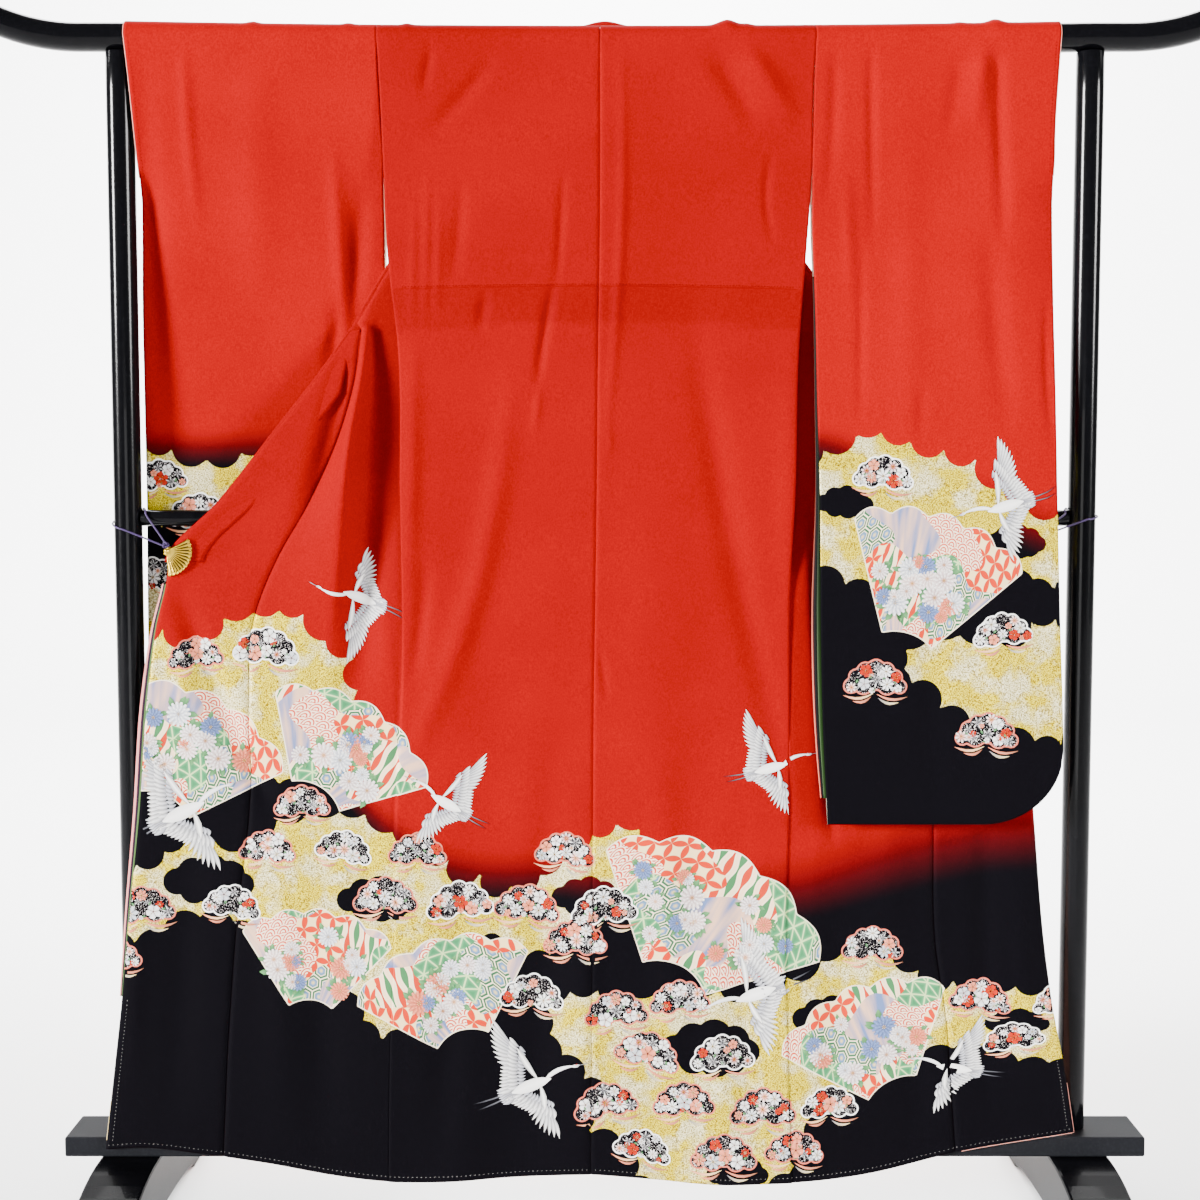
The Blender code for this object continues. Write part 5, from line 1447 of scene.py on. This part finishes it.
def ring_of(ornament, x, y, reach, petals, width, first, last, turn=0.0, hollow=0.12, level=1, edge=0.78,
            end=0.5, steps=2):
    """Petals round a middle: each starts at the hollow's share of the reach and ends at it."""
    aim = compass(turn + np.arange(petals) * math.tau / petals)
    spot = np.array([x, y])
    ornament.add(spot + aim * reach * hollow, spot + aim * reach, width, first, last, edge, level=level,
                 steps=steps, end=end)


def blossom(ornament, x, y, reach, kind, turn, shade):
    """A small blossom of one of four kinds, in one of the cluster's shades."""
    if kind == 0:
        ring_of(ornament, x, y, reach, 5, 0.92 * reach, np.array(shade) * 0.72, shade, turn, end=0.62)
        ring_of(ornament, x, y, 0.40 * reach, 5, 0.12 * reach, CORAL, LEAF_GOLD, turn + 0.6, level=2, steps=1)
    elif kind == 1:
        ring_of(ornament, x, y, reach, 8, 0.46 * reach, shade, WHITE, turn, edge=0.60)
        ring_of(ornament, x, y, 0.42 * reach, 6, 0.26 * reach, LEAF_GOLD, shade, turn + 0.3, level=2, steps=1)
    elif kind == 2:
        ring_of(ornament, x, y, reach, 7, 0.60 * reach, np.array(shade) * 0.62, shade, turn, edge=0.60)
        ring_of(ornament, x, y, 0.36 * reach, 5, 0.2 * reach, LEAF_GOLD, IVORY, turn, level=2, steps=1)
    else:
        ring_of(ornament, x, y, reach, 6, 0.24 * reach, GREY, WHITE, turn, end=0.2)
        ring_of(ornament, x, y, 0.7 * reach, 6, 0.14 * reach, WHITE, GREY, turn + 0.52, level=2, end=0.2,
                steps=1)


SMALL_BLOSSOMS = [
    (-0.48, 0.02, 0.15), (-0.15, 0.24, 0.15), (0.20, 0.25, 0.15), (0.50, 0.03, 0.15), (-0.02, -0.20, 0.14),
    (0.62, -0.20, 0.14), (-0.60, -0.18, 0.14),
]


def fill_cluster(ornament, x, y, size, lean, share, random):
    """A blossom for most lobes of a cluster, a few leaves between, and under it the low bough:
    brown and rose arcs that run to both sides."""
    turn = np.array([[math.cos(lean), -math.sin(lean)], [math.sin(lean), math.cos(lean)]])
    shades = [WHITE, CORAL, PINK, WHITE, CORAL, WHITE, (0.60, 0.62, 0.66), PINK]
    offset = int(share * 8)
    for k, (across, up, reach) in enumerate(CLUSTER_LOBES + SMALL_BLOSSOMS):
        spot = turn @ (np.array([across, up]) * size * 0.97 + random.normal(0.0, 0.035 * size, 2)) + (x, y)
        kind = int(random.choice(4, p=[0.34, 0.30, 0.16, 0.20]))
        turned, grown = random.uniform(0, math.tau), random.uniform(0.48, 0.80)
        if random.random() < 0.88:
            blossom(ornament, *spot, size * reach * grown, kind, turned, shades[(k + offset) % 8])

    def at(*places):
        return np.array(places) * size @ turn.T + (x, y)

    gaps = at((-0.20, 0.14), (0.22, 0.14), (0.0, -0.20), (-0.60, -0.02), (0.60, -0.04))
    aims = compass(random.uniform(0, math.tau, 5))
    ornament.add(gaps, gaps + 0.13 * size * aims, 0.07 * size, PALE_GREEN, GREEN, level=1)
    low = at((-0.06, -0.36), (0.06, -0.38), (-0.12, -0.46), (0.10, -0.50))
    ends = at((-1.00, -0.42), (1.02, -0.46), (-0.70, -0.60), (0.74, -0.64))
    ornament.add(low, ends, 0.085 * size, [IVORY, PINK, (0.30, 0.12, 0.07), GREY],
                 [PINK, (0.34, 0.14, 0.08), PINK, IVORY], 0.7, np.array([0.13, -0.13, 0.10, -0.10]) * size,
                 steps=5)


def chrysanthemum(ornament, x, y, reach, shade, light, turn):
    """A large flower in three whorls."""
    for share, petals, width, dim, turned, hollow, level in [
        (1.0, 15, 0.36, 0.70, 0.0, 0.25, 2), (0.72, 12, 0.30, 0.65, 0.2, 0.15, 3),
        (0.44, 9, 0.24, 0.60, 0.1, 0.08, 4),
    ]:
        ring_of(ornament, x, y, share * reach, petals, width * reach, np.array(shade) * dim, light,
                turn + turned, hollow, level, edge=0.6)
    ring_of(ornament, x, y, 0.18 * reach, 6, 0.10 * reach, LEAF_GOLD, IVORY, turn, 0.1, 5, steps=1)


def fill_fan(ornament, x, y, inner, outer, aim, opening, random):
    """Flowers and leaves gathered on a fan."""
    aim, half = math.radians(aim), math.radians(opening)
    shades = [(CORAL, PINK), (BLUE, SKY), (PINK, WHITE), ((0.50, 0.12, 0.12), WHITE), (CORAL, WHITE),
              (SKY, WHITE)]
    count = max(6, int(15 * (outer - inner) / 0.14))
    for k in range(count):
        turn = aim + half * random.uniform(-0.80, 0.80)
        reach = inner + (outer - inner) * random.uniform(0.22, 0.82)
        spot = (x + reach * math.cos(turn), y + reach * math.sin(turn))
        size = random.uniform(0.0095, 0.0185)
        aims = compass(random.uniform(0, math.tau, 5)) * size
        ornament.add(aims * 0.6 + spot, aims * 1.55 + spot, 0.50 * size, GREEN, PALE_GREEN, 0.75, 0.1 * size,
                     level=1)
        shade, light = shades[(k + int(x * 100)) % 6]
        chrysanthemum(ornament, *spot, size, shade, light, random.uniform(0, math.tau))


# A crane's rows of feathers and its body, neck, head, crown and bill, in shares of its length:
# along the way it flies, and across it
FEATHERS = [  # count, root at the tip, root at the body, first and last turn, reach, width, level, colours
    (2, (-0.18, 0.012), (-0.18, -0.012), 176, 183, 0.40, 0.38, 0.016, 1, GREY, INK),
    (7, (-0.13, 0.035), (-0.16, -0.03), 168, 196, 0.20, 0.16, 0.055, 2, DIM, PALE),
    (9, (-0.04, 0.46), (-0.02, 0.25), 106, 156, 0.30, 0.22, 0.042, 2, DIM, WHITE),
    (9, (-0.02, 0.24), (-0.14, 0.04), 158, 178, 0.19, 0.17, 0.054, 2, DIM, WHITE),
    (13, (0.02, 0.40), (-0.10, 0.04), 112, 172, 0.13, 0.12, 0.044, 3, DIM, WHITE),
    (12, (0.06, 0.33), (-0.05, 0.03), 112, 172, 0.08, 0.08, 0.038, 4, DIM, PALE),
    (8, (0.08, -0.32), (0.04, -0.17), -92, -148, 0.27, 0.19, 0.040, 2, DIM, WHITE),
    (8, (0.03, -0.16), (-0.13, -0.03), -152, -176, 0.17, 0.15, 0.052, 2, DIM, WHITE),
    (11, (0.11, -0.27), (-0.09, -0.03), -98, -172, 0.12, 0.11, 0.042, 3, DIM, WHITE),
    (10, (0.12, -0.21), (-0.05, -0.02), -98, -172, 0.07, 0.07, 0.036, 4, DIM, PALE),
    (2, (0.08, 0.02), (0.08, -0.02), 102, -100, 0.38, 0.26, 0.060, 5, WHITE, WHITE),
]
CRANE_PARTS = [  # base, tip, width, colours, edge, bow, blunt, level, steps
    ((-0.20, 0.0), (0.20, 0.0), 0.12, WHITE, WHITE, 0.82, 0.0, 0.9, 6, 5),
    ((0.14, 0.01), (0.47, 0.05), 0.042, WHITE, (0.78, 0.78, 0.80), 0.75, 0.03, 0.7, 6, 6),
    ((0.43, 0.05), (0.51, 0.045), 0.034, WHITE, GREY, 0.8, 0.0, 1.0, 7, 3),
    ((0.465, 0.062), (0.492, 0.058), 0.012, CORAL, CORAL, 0.9, 0.0, 1.0, 8, 2),
    ((0.50, 0.045), (0.60, 0.035), 0.012, GREY, (0.2, 0.2, 0.2), 0.9, 0.0, 0.8, 7, 2),
]


def crane(ornament, x, y, size, aim, hand):
    """A flying crane of plain drawing: two wings of long feathers, a slim body, a stretched neck
    and trailing legs. Size is its length, aim the way it flies, hand which wing is the upper."""
    ahead = compass(math.radians(aim)) * size
    flight = np.stack([ahead, np.array([-ahead[1], ahead[0]]) * hand])
    for count, tip_root, body_root, *turns, first_reach, last_reach, width, level, shade, tip in FEATHERS:
        share = np.linspace(0.0, 1.0, count)
        root = np.outer(1 - share, tip_root) + np.outer(share, body_root)
        reach = first_reach + (last_reach - first_reach) * share ** 1.5
        end = root + reach[:, None] * compass(np.radians(turns[0] + (turns[1] - turns[0]) * share))
        ornament.add(root @ flight + (x, y), end @ flight + (x, y), width * size, shade, tip, 0.34,
                     0.012 * size * hand, 1.25, level + 0.8 * share, 4)
    for base, tip, width, first, last, edge, bow, *rest in CRANE_PARTS:
        ornament.add(base @ flight + (x, y), tip @ flight + (x, y), width * size, first, last, edge,
                     bow * size * hand, *rest)


def dress(design, seed):
    """All the ornament of one layout."""
    ornament = Ornament()
    random = np.random.default_rng(seed)
    for fan in design.fans:
        fill_fan(ornament, *fan, random)
    for cluster in design.clusters:
        fill_cluster(ornament, *cluster, random)
    for bird in design.birds:
        crane(ornament, *bird)
    return ornament


def stitches(ornament, u, v, shade):
    """A row of short stitches, each 1.8 mm long, from every place towards the next."""
    spots = np.column_stack([u, v])
    ends = spots + STITCH_LENGTH * unit(np.gradient(spots, axis=0))
    ornament.add(spots, ends, STITCH_WIDTH, shade, shade, 1.0, steps=1, end=1.0)


def piping(name, path, shade):
    """A fine roll of the lining's silk that shows along an edge."""
    path = even_steps(path, round(length_of(path) / PIPING_STEP) + 1)
    piece = tube_piece(name, path, PIPING_RADIUS, 8, LAYER_SILK)
    tint(piece, np.full((len(piece.data.vertices), 3), shade))
    return settle(piece, "layer_silk")


PALE_THREAD, RED_THREAD = (0.30, 0.29, 0.28), (0.055, 0.0, 0.001)
body_ornament = dress(BODY_DESIGN, 5)
hem_u = np.arange(-0.712, 0.670, 0.0064)
stitches(body_ornament, hem_u, HEM_LEVEL + 0.0075 + 0 * hem_u, PALE_THREAD)
edge_v = np.arange(0.085, 0.330, 0.0064)
for side in (-1, 1):
    stitches(body_ornament, side * (FRONTS[side].at("edge", edge_v) - 0.0085), edge_v, PALE_THREAD)
tuck_u = np.arange(-0.284, 0.272, 0.0044)
stitches(body_ornament, tuck_u, TUCK_LEVEL + 0.0024 + 0 * tuck_u, RED_THREAD)

lying_on = {name: [] for name in cloths}
for name in ("back_left", "back_right", "front_left", "front_right", "okumi_left", "okumi_right"):
    lying_on[name].append(body_ornament.piece(name + "_ornament", panels[name]))
for side, label in SIDES.items():
    ornament = dress(SLEEVE_DESIGNS[side], 17 + side)
    cuff_v = np.arange(CUFF_FOOT + 0.006, 1.684, 0.0042)
    stitches(ornament, side * (SLEEVES[side].at("outer", cuff_v) - 0.0060), cuff_v, RED_THREAD)
    for face in ("", "far_"):
        name = "sleeve_" + face + label
        lying_on["sleeve_" + label].append(ornament.piece(name + "_ornament", panels[name]))
    whole = cloths["sleeve_" + label][1]
    cuff = whole.points[:, 0 if side < 0 else -1]
    cuff = cuff[cuff[:, 2] > CUFF_FOOT] + np.array([side * 0.0004, 0.0, 0.0])
    lying_on["sleeve_" + label].append(piping("cuff_piping_" + label, cuff, (0.74, 0.30, 0.24)))
okumi = panels["okumi_right"]
hem = np.concatenate([okumi.points[0, 2:], okumi.points[1:26, -1]]) + np.array([0.0004, 0.0006, -0.0006])
lying_on["okumi_right"].append(piping("hem_piping_right", hem, (0.74, 0.32, 0.26)))
okumi = panels["okumi_left"]
edge = okumi.points[4:22, 0] + np.array([-0.0004, 0.0006, 0.0])
lying_on["okumi_left"].append(piping("hem_piping_left", edge, (0.72, 0.56, 0.28)))

for name, (piece, panel, flat, rests) in cloths.items():
    declare_sheet(panel, flat, rests)

# The rack: a lacquered bar whose ends curve up, on two posts with a thinner rail between them,
# stood on a grey painted board with two shaped feet.
BAR_RADIUS, BAR_STRAIGHT, BAR_END_RADIUS, BAR_END_TURN = 0.020, 0.735, 0.30, math.radians(36)
BOARD_TOP, JOINT = 0.1287, 0.0003


def lacquer(name, colour, roughness, specks, bend, coat):
    """Sprayed lacquer: smooth, with a very slight long waviness and fine dust in the gloss."""
    recipe = Recipe(name)
    place = recipe.place()
    recipe.bump(recipe.noise(place, 14.0, 1.0), 0.05, 0.004)
    dust = recipe.noise(place, 240.0, 3.0)
    return recipe.finish(
        Base_Color=recipe.mix(recipe.span(dust, 0.45, 0.75), colour, tuple(c * specks for c in colour)),
        Roughness=recipe.between(dust, roughness, roughness + 0.08),
        IOR=bend, Coat_Weight=coat, Coat_IOR=1.35, Coat_Roughness=0.03)


BLACK_LACQUER = lacquer("gloss_black_lacquer", (0.0018, 0.0018, 0.0023), 0.14, 1.6, 1.17, 0.12)
FOOT_LACQUER = lacquer("gloss_black_lacquer_of_the_feet", (0.0018, 0.0018, 0.0023), 0.20, 1.6, 1.08, 0.04)
GREY_PAINT = lacquer("satin_grey_paint", (0.0078, 0.0082, 0.0096), 0.45, 1.4, 1.08, 0.0)


def lathe_rod(name, path, radius, sides, node, ease=0.0016):
    """A round rod along a path with eased ends: near each end the radius falls by a quarter
    circle of the given size."""
    ahead = unit(np.gradient(path, axis=0))
    turn = np.linspace(0.0, math.pi / 2, 5)[:-1]
    set_in, reach = ease * (1 - np.cos(turn)), radius - ease + ease * np.sin(turn)
    from_ends = np.linalg.norm(path[:, None] - path[[0, -1]], axis=2).min(axis=1)
    inner = path[from_ends > 1.5 * ease]
    line = np.concatenate([
        path[0] + np.outer(set_in, ahead[0]), inner, path[-1] - np.outer(set_in[::-1], ahead[-1])])
    reaches = np.concatenate([reach, np.full(len(inner), radius), reach[::-1]])
    return settle(tube_piece(name, line, reaches[:, None], sides, BLACK_LACQUER), "black_lacquer", node)


turns = np.linspace(BAR_END_TURN, 0.0, 22)[:-1]
end_x = BAR_STRAIGHT + BAR_END_RADIUS * np.sin(turns)
end_z = BAR_HEIGHT + BAR_END_RADIUS * (1.0 - np.cos(turns))
middle_x = np.concatenate([[-BAR_STRAIGHT], np.linspace(-POST_OUT, POST_OUT, 41), [BAR_STRAIGHT]])
bar_x = np.concatenate([-end_x, middle_x, end_x[::-1]])
bar_z = np.concatenate([end_z, bar_height(middle_x), end_z[::-1]])
lathe_rod("rack_bar", np.stack([bar_x, 0 * bar_x, bar_z], axis=-1), BAR_RADIUS, 40, "top_bar", 0.004)
post_foot, post_head = BOARD_TOP + JOINT, bar_height(POST_OUT - POST_RADIUS) - BAR_RADIUS - JOINT
for side, label in SIDES.items():
    heights = np.linspace(post_foot, post_head, 30)
    post = np.stack([side * POST_OUT + 0 * heights, 0 * heights, heights], axis=-1)
    lathe_rod("rack_post_" + label, post, POST_RADIUS, 40, "post_" + label)
rail_half = POST_OUT - POST_RADIUS - JOINT
rail_x = np.linspace(-rail_half, rail_half, 24)
rail = np.stack([rail_x, 0 * rail_x, RAIL_HEIGHT + 0 * rail_x], axis=-1)
lathe_rod("rack_rail", rail, RAIL_RADIUS, 32, "mid_rail", 0.0008)
for node, material in [("base_board", GREY_PAINT), ("foot_left", FOOT_LACQUER), ("foot_right", FOOT_LACQUER)]:
    for slot in bpy.data.objects[node].material_slots:
        slot.material = material

# The fan clips: a pleated gilt fan on the face of the collar, a plain jaw behind it, and an eye
# that joins them at the cloth's edge.
FAN_HUB, FAN_RADIUS, FAN_FIRST, FAN_LAST = 0.0022, 0.036, math.radians(29), math.radians(-88)
CLIP_PLEATS, PLEAT_RISE, RING_RISE, EYE_RADIUS = 13, 0.0017, 0.0004, 0.0034
JAW_BACK, JAW_LENGTH, JAW_HALF_WIDTH, JAW_THICKNESS = -0.003, 0.030, 0.007, 0.0012

gilt = Recipe("gilt_brass")
gilt_place = gilt.place()
worn = gilt.noise(gilt_place, 90.0, 3.0)
gilt.bump(gilt.noise(gilt_place, 700.0), 0.10, 0.0003)
gilt_colour = gilt.mix(gilt.span(worn, 0.35, 0.65), (0.46, 0.29, 0.016), (0.66, 0.45, 0.045))
# Painted shade: the valleys between the pleats are coloured nearly black-brown.
gilt.finish(
    Base_Color=gilt.mix(gilt.read("painted_pleat_shade"), gilt_colour, (0.022, 0.010, 0.001)),
    Metallic=0.80, Roughness=gilt.between(worn, 0.22, 0.38))


def joined_grids(name, grids, material):
    """Closed boxes of two grids each, a front and a back, with their borders joined."""
    points, faces, total = [], [], 0
    for front, back in grids:
        rows, columns = front.shape[:2]
        index = np.arange(rows * columns).reshape(rows, columns)
        border = np.concatenate([index[0], index[1:, -1], index[-1, -2::-1], index[-2:0:-1, 0]])
        ahead = np.roll(border, -1)
        offset = rows * columns
        faces.append(grid_faces(rows, columns) + total)
        faces.append(grid_faces(rows, columns)[:, ::-1] + offset + total)
        faces.append(np.stack([border, border + offset, ahead + offset, ahead], axis=1) + total)
        points += [front.reshape(-1, 3), back.reshape(-1, 3)]
        total += 2 * offset
    return new_piece(name, np.concatenate(points), np.concatenate(faces).tolist(), material)


def fan_clip(name, side, out, height):
    """The fan is a grid in (turn, reach): its face rises and falls in pleats that grow with the
    reach, |saw(turn)|, and its edge is scalloped by the same pleats."""
    depth = float(FRONTS[-1].at("depth", height))
    before_cloth, behind_cloth = depth - LAYER / 2, depth + LAYER + LAYER / 2
    turn = np.linspace(FAN_FIRST, FAN_LAST, CLIP_PLEATS * 8 + 1)[None, :]
    reach = np.linspace(0.0, 1.0, 26)[:, None]
    phase = np.abs((np.linspace(0.0, CLIP_PLEATS, CLIP_PLEATS * 8 + 1)[None, :] % 1.0) * 2 - 1)
    length = FAN_HUB + (FAN_RADIUS * (1.0 - 0.035 * phase ** 2) - FAN_HUB) * reach
    x, z = -side * length * np.cos(turn), length * np.sin(turn)
    rise = PLEAT_RISE * clamp((length - 0.006) / 0.02) * (1.0 - phase)
    ring = sum(RING_RISE * np.exp(-(((reach - middle) / 0.02) ** 2)) for middle in (0.40, 0.93))
    fan = [np.stack([x, y, z], axis=-1)[:, ::side]
           for y in (before_cloth - 0.0014 - rise - ring, before_cloth - 0.0006 + 0 * x)]
    aim = (FAN_FIRST + FAN_LAST) / 2
    along, across = np.meshgrid(
        np.linspace(JAW_BACK, JAW_LENGTH, 12), np.linspace(-JAW_HALF_WIDTH, JAW_HALF_WIDTH, 8))
    jaw_x = -side * (along * math.cos(aim) - across * math.sin(aim))
    jaw_z = along * math.sin(aim) + across * math.cos(aim)
    jaw_y = behind_cloth + 0.0004 + 0.0008 * (across / JAW_HALF_WIDTH) ** 2
    jaw = [np.stack([jaw_x, jaw_y + shift, jaw_z], axis=-1)[:, ::-side] for shift in (0.0, JAW_THICKNESS)]
    place = np.array([side * out, 0.0, height])
    boxes = [[grid + place for grid in pair] for pair in (fan, jaw)]
    piece = joined_grids(name + "_fan", boxes, gilt.material)
    # A mask for the painted shade, 1 where the pleats sink into their valleys.
    painted_pleat_shade = (clamp((phase - 0.45) / 0.30) * clamp((reach - 0.22) / 0.10) * (reach < 0.90))[:, ::side].ravel()
    point_values(piece, "painted_pleat_shade", np.pad(painted_pleat_shade, (0, len(piece.data.vertices) - len(painted_pleat_shade))))
    eye_path = np.linspace([side * out, before_cloth - 0.0030, height],
                           [side * out, depth + 2 * LAYER + 0.0012, height], 12)
    eye = tube_piece(name + "_eye", eye_path, EYE_RADIUS, 24, gilt.material)
    settle(piece, "gilt_metal", name)
    settle(eye, "gilt_metal")


for side, label in SIDES.items():
    fan_clip("clip_" + label, side, *CLIPS[side])
